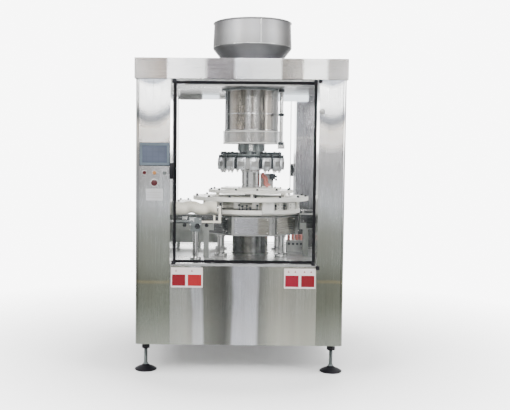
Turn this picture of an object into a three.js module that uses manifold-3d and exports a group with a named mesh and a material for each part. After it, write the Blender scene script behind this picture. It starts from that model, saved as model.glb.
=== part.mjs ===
// A rotary capsule filling machine: a stainless steel cabinet on four levelling feet, glazed on all sides,
// with a hopper on its roof, a product drum, a turret with sixteen dosing stations, a star-wheel table and
// an infeed timing screw. Millimetres, +Z up, the front faces -Y, and the origin is on the floor under the
// middle of the cabinet.
import * as THREE from "three";
import { mergeVertices } from "three/addons/utils/BufferGeometryUtils.js";
import Module from "manifold-3d";

const wasm = await Module();
wasm.setup();

// ---- Driving dimensions ----------------------------------------------------------------------------
const GAP = 0.3; // left between faces that touch
const TURN = 2 * Math.PI;

const BODY = { width: 1334, depth: 1300, bottom: 190 };
const CAP = { width: 1350, depth: 1316, bottom: 1890, top: 2020, sheet: 3 };
const PILLAR = { left: 220, right: 171, depth: 220, sheet: 3, corner: 24, base: 10 };
const DECK = { bottom: 700, top: 714 };
const PANE = 8; // glass thickness
const CEILING = { bottom: 1880, top: 1889 };
const DECK_INSET = 16; // both plates stop behind the doors
const PANEL = { depth: 20, sheet: 3 };
const BASE = { bottom: 193, top: 205 };

const OPENING = {
  left: -BODY.width / 2 + PILLAR.left,
  right: BODY.width / 2 - PILLAR.right,
  front: -BODY.depth / 2 + PILLAR.depth,
  back: BODY.depth / 2 - PILLAR.depth,
};
// The back is laid out like the front, each as seen from outside, so its spans along X are mirrored.
const spanAt = (end, from, to) => (end < 0 ? [from, to] : [-to, -from]);
const DOOR = { left: -438, right: 494, bottom: 708, top: 1888, inner: 636, outer: 644 };
const SEAL = { inset: 12, width: 17, thickness: 8 };
const HANDLE = { x: [-450, -422], z: [1256, 1357], inner: 662, outer: 690 };
const HINGE = { x: 499, y: 657 };

const TURRET = { x: 87, stations: 16, phase: 4.25 }; // phase: degrees of the first station from the front
const SHAFT = { radius: 40, bottom: 400, top: 1512 };
const NECK = { radius: 64.5, bottom: 1178, top: 1314 };
const HUB = { radius: 89, bottom: 1466, top: 1494 };
const RING = { radius: 236, bottom: 1315, top: 1397, blockWidth: 60, blockDepth: 52 };
const PLUNGER = { circle: 208, radius: 6, bottom: 1292, top: 1436 };
const CROWN = { bottom: 1402, top: 1444, plateBottom: 1412, plateTop: 1422, radius: 217 };

const DRUM = { radius: 190, wall: 4, bottom: 1497 };
const GUARD = { radius: 201, wall: 4, top: 1586 };
const HOPPER = { top: 2349, shoulder: 2174, mouth: 272, rim: 279, neck: 169, throat: 150, sheet: 3 };

const HOUSING = { apothem: 330, bottom: 864, top: 1000 };
const COLUMN = { radius: 133.5, bore: 46 };
const POSTS = { spread: 210, radius: 25, flange: 45, cap: 32 };
const LOWER_DISC = { radius: 355, bottom: 1012, top: 1040, boss: 318 };
const MAIN_DISC = { radius: 413, bottom: 1098, top: 1126, postCircle: 344, postRadius: 7 };
const MAIN_DISC_POSTS = [15, 125, 165, 205, 245, 285]; // degrees round from the front, clear of both conveyors
const TOP_DISC = { radius: 303, bottom: 1150, top: 1172, step: 215, stepTop: 1186, posts: 6 };
const STAR = { radius: 330, bottom: 1050, top: 1090, pocket: 24 };

const SCREW = { y: -380, z: 1057, left: -424, right: -150, radius: 46.5, groove: 17, pitch: 137, shaft: 9 };
const INFEED = { left: -650, right: -172, front: -352, back: -272, legs: [-600, -240] };
const OUTFEED = { left: 424, right: 650, front: -215, back: -135, legs: [450, 590] };
const CONVEYOR = { bottom: 905, top: 1008, leg: 36, slotTop: 1105, slotMargin: 12 };
const GUIDE_POST = { x: -292, y: -395, radius: 20, top: 900 };
const ARM = { y: -440, z: 968, size: 14, right: -122 };
const ROD = { x: 292, y: -122, radius: 13, bottom: 1462 };

const MOTOR = { x: -213, radius: 80, bottom: 205, top: 400 };
const PULLEY = { bottom: 415, top: 455, motor: 60, shaft: 120, belt: 6 };

const FOOT = { x: 608, y: 548, pad: 72, stud: 12, studTop: 330 };
const HMI = { x: -545, z: 1412, width: 190, height: 142 };
const BUTTON = { z: 1294, radius: 12, stem: 9, hole: 11.3, xs: { stop: -610, start: -546, mode: -482 } };
const ESTOP = { x: -546, z: 1231, radius: 20 };

// ---- Materials -------------------------------------------------------------------------------------
const finish = (color, roughness, metalness, opacity = 1) =>
  new THREE.MeshStandardMaterial({ color, roughness, metalness, opacity, transparent: opacity < 1 });
const M = {
  brushed: finish(0xb9b8b4, 0.32, 1),
  polished: finish(0xc4c3c2, 0.16, 1),
  cast: finish(0x8c8e90, 0.5, 1),
  white: finish(0xe4e2da, 0.45, 0),
  cream: finish(0xd9d4c2, 0.42, 0),
  black: finish(0x16181b, 0.55, 0),
  glass: finish(0xe8f2f4, 0.05, 0, 0.2),
  clear: finish(0xe6eaec, 0.12, 0, 0.4),
  blue: finish(0x2d5b8f, 0.5, 0.2),
  screen: finish(0x7d8b9b, 0.25, 0),
  red: finish(0xa8232c, 0.35, 0),
  amber: finish(0xd08a2a, 0.35, 0),
};

// ---- Solids ----------------------------------------------------------------------------------------
// A closed three.js geometry as a solid that can be cut and joined, turned the right way out.
function solid(geometry) {
  const bare = geometry.clone();
  bare.deleteAttribute("normal");
  bare.deleteAttribute("uv");
  const merged = mergeVertices(bare, 1e-3);
  const corners = merged.index.array;
  const kept = [];
  for (let i = 0; i < corners.length; i += 3) {
    const [a, b, c] = corners.slice(i, i + 3);
    if (a !== b && b !== c && a !== c) kept.push(a, b, c);
  }
  const make = (triangles) =>
    new wasm.Manifold(
      new wasm.Mesh({
        numProp: 3,
        vertProperties: new Float32Array(merged.attributes.position.array),
        triVerts: new Uint32Array(triangles),
      }),
    );
  const made = make(kept);
  return made.volume() > 0 ? made : make(kept.reverse());
}

// A solid as a three.js geometry.
function geometryOf(manifold) {
  const mesh = manifold.getMesh();
  const geometry = new THREE.BufferGeometry();
  geometry.setAttribute("position", new THREE.BufferAttribute(mesh.vertProperties, 3));
  geometry.setIndex(new THREE.BufferAttribute(mesh.triVerts, 1));
  geometry.computeVertexNormals();
  return geometry;
}

// A box between two corners.
function block([x0, x1], [y0, y1], [z0, z1]) {
  const box = new THREE.BoxGeometry(x1 - x0, y1 - y0, z1 - z0);
  return solid(box.translate((x0 + x1) / 2, (y0 + y1) / 2, (z0 + z1) / 2));
}

// A round bar from one height to another along Z, or along X or Y through a point.
function bar(radius, from, to, { axis = "z", at = [0, 0], sides = 24 } = {}) {
  const cylinder = new THREE.CylinderGeometry(radius, radius, to - from, sides);
  const middle = (from + to) / 2;
  if (axis === "z") cylinder.rotateX(Math.PI / 2).translate(at[0], at[1], middle);
  if (axis === "x") cylinder.rotateZ(-Math.PI / 2).translate(middle, at[0], at[1]);
  if (axis === "y") cylinder.translate(at[0], middle, at[1]);
  return solid(cylinder);
}

// A turned piece: a closed profile of [radius, height] points, revolved about a vertical axis.
function turned(profile, { at = [0, 0], sides = 32 } = {}) {
  const points = [...profile, profile[0]].map(([r, z]) => new THREE.Vector2(r, z));
  return solid(new THREE.LatheGeometry(points, sides).rotateX(Math.PI / 2).translate(at[0], at[1], 0));
}

// A flat outline of THREE.Shape, from one height to another.
function plate(shape, from, to) {
  const options = { depth: to - from, bevelEnabled: false, curveSegments: 8 };
  return solid(new THREE.ExtrudeGeometry(shape, options).translate(0, 0, from));
}

const polygon = (points) => new THREE.Shape(points.map(([x, y]) => new THREE.Vector2(x, y)));
const joined = (pieces) => pieces.reduce((whole, piece) => whole.add(piece));
const cut = (whole, pieces) => pieces.reduce((rest, piece) => rest.subtract(piece), whole);
const around = (count, make, phase = 0) =>
  Array.from({ length: count }, (_, i) => make(phase + (i * TURN) / count));

// ---- The machine -----------------------------------------------------------------------------------
const machine = new THREE.Group();

function piece(name, material, manifold, parent = machine) {
  const mesh = new THREE.Mesh(geometryOf(manifold), material);
  mesh.name = name;
  parent.add(mesh);
  return mesh;
}

// Calls make for each corner of a rectangle, with the corner's name and the signs of its X and Y.
function atCorners(make) {
  for (const [endName, end] of [["front", -1], ["rear", 1]]) {
    for (const [sideName, side] of [["left", -1], ["right", 1]]) make(`${endName}_${sideName}`, side, end);
  }
}

// -- Cabinet -----------------------------------------------------------------------------------------
// A pillar is a folded box section with one rounded outer corner and a base plate that its foot screws into.
function pillar(side, end) {
  const width = side === end ? PILLAR.left : PILLAR.right;
  const outer = BODY.width / 2;
  const far = BODY.depth / 2;
  const r = PILLAR.corner;
  const outline = new THREE.Shape();
  outline.moveTo(outer - width, far);
  outline.lineTo(outer - width, far - PILLAR.depth);
  outline.lineTo(outer, far - PILLAR.depth);
  outline.lineTo(outer, far - r);
  outline.absarc(outer - r, far - r, r, 0, Math.PI / 2, false);
  outline.closePath();
  const top = CAP.top - CAP.sheet - GAP;
  const t = PILLAR.sheet;
  const inner = [outer - width + t, outer - t];
  const deep = [far - PILLAR.depth + t, far - t];
  const hollow = plate(
    polygon([
      [inner[0], deep[0]],
      [inner[1], deep[0]],
      [inner[1], deep[1] - r],
      [inner[1] - r, deep[1]],
      [inner[0], deep[1]],
    ]),
    BODY.bottom + PILLAR.base,
    top + 1,
  );
  const hole = bar(FOOT.stud + 2, BODY.bottom - 1, BODY.bottom + PILLAR.base + 1, { at: [FOOT.x, FOOT.y] });
  const tube = cut(plate(outline, BODY.bottom, top), [hollow, hole]);
  return tube.scale([side, end, 1]);
}

const front = -BODY.depth / 2;
const controlHoles = [
  block([HMI.x - 81, HMI.x + 81], [front - 1, front + 5], [HMI.z - 59, HMI.z + 59]),
  ...Object.values(BUTTON.xs).map((x) => bar(BUTTON.hole, front - 1, front + 5, { axis: "y", at: [x, BUTTON.z] })),
  bar(BUTTON.hole, front - 1, front + 5, { axis: "y", at: [ESTOP.x, ESTOP.z] }),
];
atCorners((corner, side, end) => {
  const holes = corner === "front_left" ? controlHoles : [];
  piece(`pillar_${corner}`, M.brushed, cut(pillar(side, end), holes));
});

// A level plate that fills the plan between the four pillars, this far inside the cabinet's faces.
function crossPlate(from, to, inset) {
  const { left, right, front: y0, back: y1 } = OPENING;
  const x = BODY.width / 2 - inset;
  const y = BODY.depth / 2 - inset;
  return joined([
    block(spanAt(-1, left + GAP, right - GAP), [-y, 0], [from, to]),
    block(spanAt(1, left + GAP, right - GAP), [0, y], [from, to]),
    block([-x, x], [y0 + GAP, y1 - GAP], [from, to]),
  ]);
}
const shaftHole = (radius, from, to) => bar(radius, from - 1, to + 1, { at: [TURRET.x, 0], sides: 32 });
piece("base_plate", M.cast, crossPlate(BASE.bottom, BASE.top, PANEL.depth + GAP));
piece(
  "deck_plate",
  M.brushed,
  crossPlate(DECK.bottom, DECK.top, DECK_INSET).subtract(shaftHole(50, DECK.bottom, DECK.top)),
);
piece(
  "ceiling_plate",
  M.brushed,
  crossPlate(CEILING.bottom, CEILING.top, DECK_INSET).subtract(shaftHole(120, CEILING.bottom, CEILING.top)),
);

// The roof is a shallow box with no bottom that drops over the pillars.
const x2 = CAP.width / 2;
const y2 = CAP.depth / 2;
piece(
  "top_cover",
  M.brushed,
  cut(block([-x2, x2], [-y2, y2], [CAP.bottom, CAP.top]), [
    block([-x2 + CAP.sheet, x2 - CAP.sheet], [-y2 + CAP.sheet, y2 - CAP.sheet], [CAP.bottom - 1, CAP.top - CAP.sheet]),
    bar(HOPPER.throat + 2, CAP.top - 10, CAP.top + 1, { at: [TURRET.x, 0], sides: 32 }),
  ]),
);

// A lower panel is a shallow tray with its open side inwards.
const low = BODY.bottom;
const high = DECK.bottom - GAP;
function facePanel(end) {
  const y = (BODY.depth / 2) * end;
  const inner = y - PANEL.depth * end;
  const span = spanAt(end, OPENING.left + GAP, OPENING.right - GAP);
  const sorted = (a, b) => [Math.min(a, b), Math.max(a, b)];
  const t = PANEL.sheet;
  return block(span, sorted(y, inner), [low, high]).subtract(
    block([span[0] + t, span[1] - t], sorted(y - t * end, inner - end), [low + t, high - t]),
  );
}
function sidePanel(side) {
  const x = (BODY.width / 2) * side;
  const inner = x - PANEL.depth * side;
  const span = [OPENING.front + GAP, OPENING.back - GAP];
  const sorted = (a, b) => [Math.min(a, b), Math.max(a, b)];
  const t = PANEL.sheet;
  return block(sorted(x, inner), span, [low, high]).subtract(
    block(sorted(x - t * side, inner - side), [span[0] + t, span[1] - t], [low + t, high - t]),
  );
}
piece("lower_panel_front", M.brushed, facePanel(-1));
piece("lower_panel_rear", M.brushed, facePanel(1));
piece("lower_panel_left", M.brushed, sidePanel(-1));
piece("lower_panel_right", M.brushed, sidePanel(1));

// -- Windows -----------------------------------------------------------------------------------------
const paneX = BODY.width / 2 - 3;
const paneY = [OPENING.front + GAP, OPENING.back - GAP];
const paneZ = [DECK.top + GAP, CEILING.bottom - GAP];
function sideWindow(xs, conveyor) {
  const m = CONVEYOR.slotMargin;
  const slot = block(
    [xs[0] - 1, xs[1] + 1],
    [conveyor.front - m, conveyor.back + m],
    [CONVEYOR.top - 6, CONVEYOR.slotTop],
  );
  return block(xs, paneY, paneZ).subtract(slot);
}
piece("side_window_left", M.glass, sideWindow([-paneX, -paneX + PANE], INFEED));
piece("side_window_right", M.glass, sideWindow([paneX - PANE, paneX], OUTFEED));

// -- Doors -------------------------------------------------------------------------------------------
// Seen from outside, each door is a frameless glass pane hung at its right-hand edge, with a pull handle
// at the left.
// A black seal is fixed to the inner face of the front one, a little inside its edges.
const toward = (end, a, b) => [Math.min(a * end, b * end), Math.max(a * end, b * end)];
function doorSlab(inset, end, inner, outer) {
  const { left, right, bottom, top } = DOOR;
  return block(spanAt(end, left + inset, right - inset), toward(end, inner, outer), [bottom + inset, top - inset]);
}
function doorHandle(end) {
  const { x, z, inner, outer } = HANDLE;
  const legs = [z[0] + 8, z[1] - 24].map((from) =>
    block(spanAt(end, DOOR.left + 2, DOOR.left + 14), toward(end, DOOR.outer + GAP, inner + 1), [from, from + 16]),
  );
  return joined([block(spanAt(end, ...x), toward(end, inner, outer), z), ...legs]);
}
for (const [name, end] of [["front", -1], ["rear", 1]]) {
  piece(`${name}_door_glass`, M.glass, doorSlab(0, end, DOOR.inner, DOOR.outer));
  piece(`${name}_door_handle`, M.black, doorHandle(end));
}
const sealBack = DOOR.inner - GAP - SEAL.thickness;
piece(
  "front_door_seal",
  M.black,
  doorSlab(SEAL.inset, -1, sealBack, DOOR.inner - GAP).subtract(
    doorSlab(SEAL.inset + SEAL.width, -1, sealBack - 1, DOOR.inner),
  ),
);

const pivotX = [HINGE.x - 11, HINGE.x + 11];
const pivotY = [-HINGE.y - 7, -BODY.depth / 2 - GAP];
piece("door_hinge_upper", M.black, block(pivotX, pivotY, [CAP.bottom - 24, CAP.bottom - 1]));
piece("door_hinge_lower", M.black, block(pivotX, pivotY, [DOOR.bottom - 24, DOOR.bottom - 1]));
piece(
  "rear_hinge_post",
  M.black,
  block(spanAt(1, ...pivotX), [BODY.depth / 2 + GAP, HINGE.y + 7], [DOOR.bottom - 24, CAP.bottom - 1]),
);

// -- Control panel -----------------------------------------------------------------------------------
const { x: hx, z: hz, width: hw, height: hh } = HMI;
piece(
  "hmi_panel",
  M.screen,
  joined([
    block([hx - hw / 2, hx + hw / 2], [front - 8, front - GAP], [hz - hh / 2, hz + hh / 2]),
    block([hx - 79, hx + 79], [front - 1, front + 42], [hz - 57, hz + 57]),
  ]),
);
function pushButton(x, z, capRadius, face, back) {
  return bar(capRadius, face, back, { axis: "y", at: [x, z] }).add(
    bar(BUTTON.stem, back - 1, front + 30, { axis: "y", at: [x, z], sides: 16 }),
  );
}
piece("stop_button", M.red, pushButton(BUTTON.xs.stop, BUTTON.z, BUTTON.radius, front - 14, front - 6));
piece("start_button", M.amber, pushButton(BUTTON.xs.start, BUTTON.z, BUTTON.radius, front - 14, front - 6));
piece("emergency_stop", M.red, pushButton(ESTOP.x, ESTOP.z, ESTOP.radius, front - 34, front - 20));
piece(
  "mode_selector",
  M.black,
  joined([
    pushButton(BUTTON.xs.mode, BUTTON.z, BUTTON.radius, front - 12, front - 4),
    block([BUTTON.xs.mode - 4, BUTTON.xs.mode + 4], [front - 24, front - 11], [BUTTON.z - 11, BUTTON.z + 11]),
  ]),
);

// -- Feet --------------------------------------------------------------------------------------------
function foot() {
  const pad = turned([[0, 0], [FOOT.pad, 0], [FOOT.pad, 8], [52, 20], [22, 34], [0, 34]], { sides: 20 });
  const stud = bar(FOOT.stud, 30, FOOT.studTop, { sides: 10 });
  const nut = bar(28, BODY.bottom - 20, BODY.bottom - 1, { sides: 6 });
  return joined([pad, stud, nut]);
}
atCorners((corner, side, end) => {
  const mesh = piece(`foot_${corner}`, M.black, foot());
  mesh.position.set(side * FOOT.x, end * FOOT.y, 0);
});

// -- Hopper and product drum -------------------------------------------------------------------------
const onAxis = { at: [TURRET.x, 0], sides: 40 };
const h = HOPPER;
piece(
  "hopper",
  M.polished,
  turned(
    [
      [h.throat, CEILING.top + 12],
      [h.throat, CAP.top + 1],
      [h.neck, CAP.top + 1],
      [h.neck, CAP.top + 5],
      [h.rim, h.shoulder],
      [h.mouth, h.top - 8],
      [h.mouth + 4, h.top - 8],
      [h.mouth + 4, h.top],
      [h.mouth - h.sheet, h.top],
      [h.rim - h.sheet, h.shoulder + 2],
      [h.throat - h.sheet, CAP.top + 10],
      [h.throat - h.sheet, CEILING.top + 12],
    ],
    onAxis,
  ),
);
const drumTop = CEILING.bottom - GAP;
piece(
  "drum_housing",
  M.polished,
  turned(
    [
      [SHAFT.radius + 8, DRUM.bottom],
      [DRUM.radius, DRUM.bottom],
      [DRUM.radius, drumTop],
      [DRUM.radius - DRUM.wall, drumTop],
      [DRUM.radius - DRUM.wall, DRUM.bottom + 8],
      [SHAFT.radius + 8, DRUM.bottom + 8],
    ],
    onAxis,
  ),
);
piece(
  "drum_guard_ring",
  M.clear,
  turned(
    [
      [GUARD.radius - GUARD.wall, DRUM.bottom],
      [GUARD.radius, DRUM.bottom],
      [GUARD.radius, GUARD.top],
      [DRUM.radius + 0.6, GUARD.top],
      [DRUM.radius + 0.6, GUARD.top - 6],
      [GUARD.radius - GUARD.wall, GUARD.top - 6],
    ],
    onAxis,
  ),
);
piece(
  "lift_rod",
  M.polished,
  joined([
    bar(ROD.radius, ROD.bottom + 8, drumTop, { at: [ROD.x, ROD.y] }),
    block([ROD.x - 24, ROD.x + 24], [ROD.y - 20, ROD.y + 20], [ROD.bottom, ROD.bottom + 28]),
  ]),
);

// -- Turret ------------------------------------------------------------------------------------------
const s = SHAFT;
piece(
  "main_shaft",
  M.polished,
  turned(
    [
      [0, s.bottom],
      [s.radius, s.bottom],
      [s.radius, NECK.bottom],
      [NECK.radius, NECK.bottom],
      [NECK.radius, NECK.top],
      [s.radius, NECK.top],
      [s.radius, HUB.bottom],
      [HUB.radius, HUB.bottom],
      [HUB.radius, HUB.top],
      [s.radius, HUB.top],
      [s.radius, s.top],
      [0, s.top],
    ],
    { at: [TURRET.x, 0], sides: 24 },
  ),
);

// A solid made at the front of a circle, turned round the turret's axis to its station.
const atStation = (made, angle) => made.rotate([0, 0, (angle * 360) / TURN]).translate([TURRET.x, 0, 0]);
const stationPhase = (TURRET.phase * TURN) / 360;
const bore = SHAFT.radius + GAP;
const web = turned(
  [
    [bore, RING.bottom + 8],
    [RING.radius - 52, RING.bottom + 8],
    [RING.radius - 52, RING.bottom + 6],
    [RING.radius - 14, RING.bottom + 6],
    [RING.radius - 14, RING.top - 6],
    [RING.radius - 52, RING.top - 6],
    [RING.radius - 52, RING.bottom + 38],
    [74, RING.bottom + 38],
    [74, RING.top - 2],
    [bore, RING.top - 2],
  ],
  { at: [TURRET.x, 0], sides: 24 },
);
const stationBlock = block(
  [-RING.blockWidth / 2, RING.blockWidth / 2],
  [-RING.radius, -RING.radius + RING.blockDepth],
  [RING.bottom, RING.top],
);
const stationBore = bar(PLUNGER.radius + 2, RING.bottom - 1, RING.top + 1, { at: [0, -PLUNGER.circle], sides: 8 });
piece(
  "station_ring",
  M.cast,
  cut(
    joined([web, ...around(TURRET.stations, (a) => atStation(stationBlock, a), stationPhase)]),
    around(TURRET.stations, (a) => atStation(stationBore, a), stationPhase),
  ),
);
const plunger = bar(PLUNGER.radius, PLUNGER.bottom, PLUNGER.top, { at: [0, -PLUNGER.circle], sides: 8 });
piece(
  "plunger_crown",
  M.cast,
  joined([
    turned(
      [
        [SHAFT.radius + 1, CROWN.bottom],
        [HUB.radius - 1, CROWN.bottom],
        [HUB.radius - 1, CROWN.plateBottom],
        [CROWN.radius, CROWN.plateBottom],
        [CROWN.radius, CROWN.plateTop],
        [HUB.radius - 1, CROWN.plateTop],
        [HUB.radius - 1, CROWN.top],
        [SHAFT.radius + 1, CROWN.top],
      ],
      { at: [TURRET.x, 0], sides: 32 },
    ),
    ...around(TURRET.stations, (a) => atStation(plunger, a), stationPhase),
  ]),
);

// The star wheel has a round pocket for each station.
const pocketCut = bar(STAR.pocket, STAR.bottom - 1, STAR.top + 1, { at: [0, -STAR.radius], sides: 16 });
piece(
  "star_wheel",
  M.white,
  cut(
    turned([[bore, STAR.bottom], [STAR.radius, STAR.bottom], [STAR.radius, STAR.top], [bore, STAR.top]], {
      at: [TURRET.x, 0],
      sides: 48,
    }),
    around(TURRET.stations, (a) => atStation(pocketCut, a), stationPhase),
  ),
);

// -- Table -------------------------------------------------------------------------------------------
const discBore = NECK.radius + 8;
const ld = LOWER_DISC;
piece(
  "guide_disc_lower",
  M.white,
  turned(
    [
      [SHAFT.radius + 8, HOUSING.top + GAP],
      [ld.boss, HOUSING.top + GAP],
      [ld.boss, ld.bottom],
      [ld.radius, ld.bottom],
      [ld.radius, ld.top],
      [SHAFT.radius + 8, ld.top],
    ],
    onAxis,
  ),
);
const standoff = (circle, radius, from, to) => bar(radius, from, to, { at: [0, -circle], sides: 8 });
const md = MAIN_DISC;
piece(
  "guide_disc_main",
  M.white,
  joined([
    turned([[discBore, md.bottom], [md.radius, md.bottom], [md.radius, md.top], [discBore, md.top]], onAxis),
    ...MAIN_DISC_POSTS.map((degrees) =>
      atStation(standoff(md.postCircle, md.postRadius, ld.top + GAP, md.bottom + 1), (degrees * TURN) / 360),
    ),
  ]),
);
const td = TOP_DISC;
piece(
  "guide_disc_top",
  M.white,
  joined([
    turned(
      [
        [discBore, td.bottom],
        [td.radius, td.bottom],
        [td.radius, td.top],
        [td.step, td.top],
        [td.step, td.stepTop],
        [discBore, td.stepTop],
      ],
      onAxis,
    ),
    ...around(td.posts, (a) => atStation(standoff(td.radius - 30, 10, md.top + GAP, td.bottom + 1), a)),
  ]),
);

// -- Drive housing and columns -----------------------------------------------------------------------
// The octagonal gear housing under the table, on a main column and four turned posts.
function octagon(apothem) {
  const corner = apothem / Math.cos(Math.PI / 8);
  return polygon(around(8, (a) => [corner * Math.cos(a) + TURRET.x, corner * Math.sin(a)], Math.PI / 8));
}
const hs = HOUSING;
piece(
  "drive_housing",
  M.brushed,
  plate(octagon(hs.apothem), hs.bottom, hs.top).subtract(shaftHole(COLUMN.bore, hs.bottom, hs.top)),
);
const columnZ = [DECK.top + GAP, hs.bottom - GAP];
piece(
  "main_column",
  M.brushed,
  turned(
    [
      [COLUMN.bore, columnZ[0]],
      [COLUMN.radius, columnZ[0]],
      [COLUMN.radius, columnZ[1]],
      [COLUMN.bore, columnZ[1]],
    ],
    { at: [TURRET.x, 0], sides: 32 },
  ),
);
function supportPost() {
  const [from, to] = columnZ;
  const { radius, flange, cap } = POSTS;
  const profile = [
    [0, from],
    [flange, from],
    [flange, from + 20],
    [radius, from + 24],
    [radius, to - 14],
    [cap, to - 14],
    [cap, to],
    [0, to],
  ];
  return turned(profile, { sides: 20 });
}
atCorners((corner, side, end) => {
  const mesh = piece(`support_post_${corner}`, M.polished, supportPost());
  mesh.position.set(TURRET.x + side * POSTS.spread, end * POSTS.spread, 0);
});

// -- Infeed ------------------------------------------------------------------------------------------
// The timing screw: a round bar whose surface dips in one helical groove that fades in at its left end.
function timingScrew() {
  const length = SCREW.right - SCREW.left;
  const sides = 20;
  const steps = 26;
  const body = new THREE.CylinderGeometry(1, 1, length, sides, steps);
  const position = body.attributes.position;
  for (let i = 0; i < position.count; i++) {
    const [x, along, z] = [position.getX(i), position.getY(i) + length / 2, position.getZ(i)];
    const reach = Math.hypot(x, z);
    if (reach < 1e-6) continue;
    const turn = Math.atan2(z, x) + (TURN * along) / SCREW.pitch;
    const dip = SCREW.groove * Math.min(1, 0.35 + along / length) * (0.5 - 0.5 * Math.cos(turn)) ** 1.6;
    const radius = SCREW.radius - dip;
    position.setX(i, (x / reach) * radius);
    position.setZ(i, (z / reach) * radius);
  }
  const middle = (SCREW.left + SCREW.right) / 2;
  const scroll = solid(body.rotateZ(-Math.PI / 2).translate(middle, SCREW.y, SCREW.z));
  const shaft = bar(SCREW.shaft, -452, ARM.right + 2, { axis: "x", at: [SCREW.y, SCREW.z], sides: 16 });
  return scroll.add(shaft);
}
piece("timing_screw", M.cream, timingScrew());

const bearingHole = (from, to) =>
  bar(SCREW.shaft + 1.5, from, to, { axis: "x", at: [SCREW.y, SCREW.z], sides: 16 });
const c = CONVEYOR;
function conveyor({ left, right, front: near, back: far, legs }) {
  const feet = legs.map((x) => block([x, x + c.leg], [near + 20, far - 20], [DECK.top + GAP, c.bottom + 1]));
  return joined([block([left, right], [near, far], [c.bottom, c.top]), ...feet]);
}
const drivePlate = block([-446, -434], [-420, INFEED.front + 1], [c.bottom + 20, 1100]);
piece("infeed_conveyor", M.cast, conveyor(INFEED).add(drivePlate).subtract(bearingHole(-460, -420)));
piece("outfeed_conveyor", M.cast, conveyor(OUTFEED));
piece(
  "infeed_guide_plate",
  M.white,
  joined([
    block([-440, -345], [-262, 110], [1078, 1090]),
    block([-440, -425], [-262, -247], [968, 1079]),
    block([-440, -350], [INFEED.back + GAP, -247], [968, 983]),
  ]),
);
const g = GUIDE_POST;
piece(
  "guide_post",
  M.polished,
  turned(
    [
      [0, DECK.top + GAP],
      [38, DECK.top + GAP],
      [38, DECK.top + 12],
      [g.radius, DECK.top + 16],
      [g.radius, g.top],
      [0, g.top],
    ],
    { at: [g.x, g.y], sides: 24 },
  ),
);
piece(
  "cross_clamp",
  M.cast,
  joined([
    block([g.x - 30, g.x + 30], [g.y - 26, g.y + 28], [g.top + GAP, g.top + 62]),
    block([g.x - 42, g.x + 41], [ARM.y - 14, g.y + 10], [ARM.z - 26, ARM.z + 26]),
    bar(16, ARM.y - 34, ARM.y - 10, { axis: "y", at: [g.x + 12, g.top + 40], sides: 16 }),
    bar(12, ARM.y - 30, ARM.y - 10, { axis: "y", at: [g.x - 24, ARM.z], sides: 16 }),
    bar(8, -430, g.x - 38, { axis: "x", at: [ARM.y + 20, ARM.z], sides: 12 }),
  ]),
);
const a2 = ARM.size / 2;
piece(
  "screw_support_arm",
  M.cream,
  joined([
    block([g.x + 41 + GAP, ARM.right], [ARM.y - a2, ARM.y + a2], [ARM.z - a2, ARM.z + a2]),
    block([ARM.right - 16, ARM.right], [ARM.y - a2, ARM.y + a2], [ARM.z, 1075]),
    block([-172, -160], [ARM.y - a2, ARM.y + a2], [ARM.z, 1012]),
  ]),
);
piece(
  "screw_bearing",
  M.black,
  cut(
    joined([
      block([-134, -118], [ARM.y + a2 + GAP, -352], [1000, SCREW.z]),
      bar(36, -134, -118, { axis: "x", at: [SCREW.y, SCREW.z], sides: 20 }),
    ]),
    [bearingHole(-140, -112)],
  ),
);

// -- Drive under the deck ----------------------------------------------------------------------------
piece(
  "gearmotor",
  M.blue,
  joined([
    block([MOTOR.x - 95, MOTOR.x + 95], [-95, 95], [MOTOR.bottom + GAP, MOTOR.bottom + 16]),
    bar(MOTOR.radius, MOTOR.bottom + 15, MOTOR.top - 10, { at: [MOTOR.x, 0] }),
    bar(34, MOTOR.top - 11, MOTOR.top, { at: [MOTOR.x, 0] }),
    block([MOTOR.x - 40, MOTOR.x + 40], [70, 118], [300, 360]),
  ]),
);
piece("motor_pulley", M.cast, bar(PULLEY.motor, MOTOR.top + 3, PULLEY.top, { at: [MOTOR.x, 0], sides: 32 }));
piece(
  "shaft_pulley",
  M.cast,
  bar(PULLEY.shaft, PULLEY.bottom, PULLEY.top, { at: [TURRET.x, 0], sides: 40 }).subtract(
    bar(bore, PULLEY.bottom - 1, PULLEY.top + 1, { at: [TURRET.x, 0], sides: 32 }),
  ),
);

// The belt's outline: two arcs joined by the outer tangents of the two pulleys.
function beltOutline(extra) {
  const span = TURRET.x - MOTOR.x;
  const tilt = Math.asin((PULLEY.shaft - PULLEY.motor) / span);
  const outline = new THREE.Shape();
  outline.absarc(TURRET.x, 0, PULLEY.shaft + extra, -Math.PI / 2 - tilt, Math.PI / 2 + tilt, false);
  outline.absarc(MOTOR.x, 0, PULLEY.motor + extra, Math.PI / 2 + tilt, (3 * Math.PI) / 2 - tilt, false);
  outline.closePath();
  return outline;
}
piece(
  "drive_belt",
  M.black,
  plate(beltOutline(1 + PULLEY.belt), PULLEY.bottom + 4, PULLEY.top - 4).subtract(
    plate(beltOutline(1), PULLEY.bottom, PULLEY.top),
  ),
);

export default machine;
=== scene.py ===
"""A rotary capsule filling machine in a plain studio, dressed around its CAD frame. Metres, +Z up."""
import math

import bmesh
import bpy
from mathutils import Matrix, Vector


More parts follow.
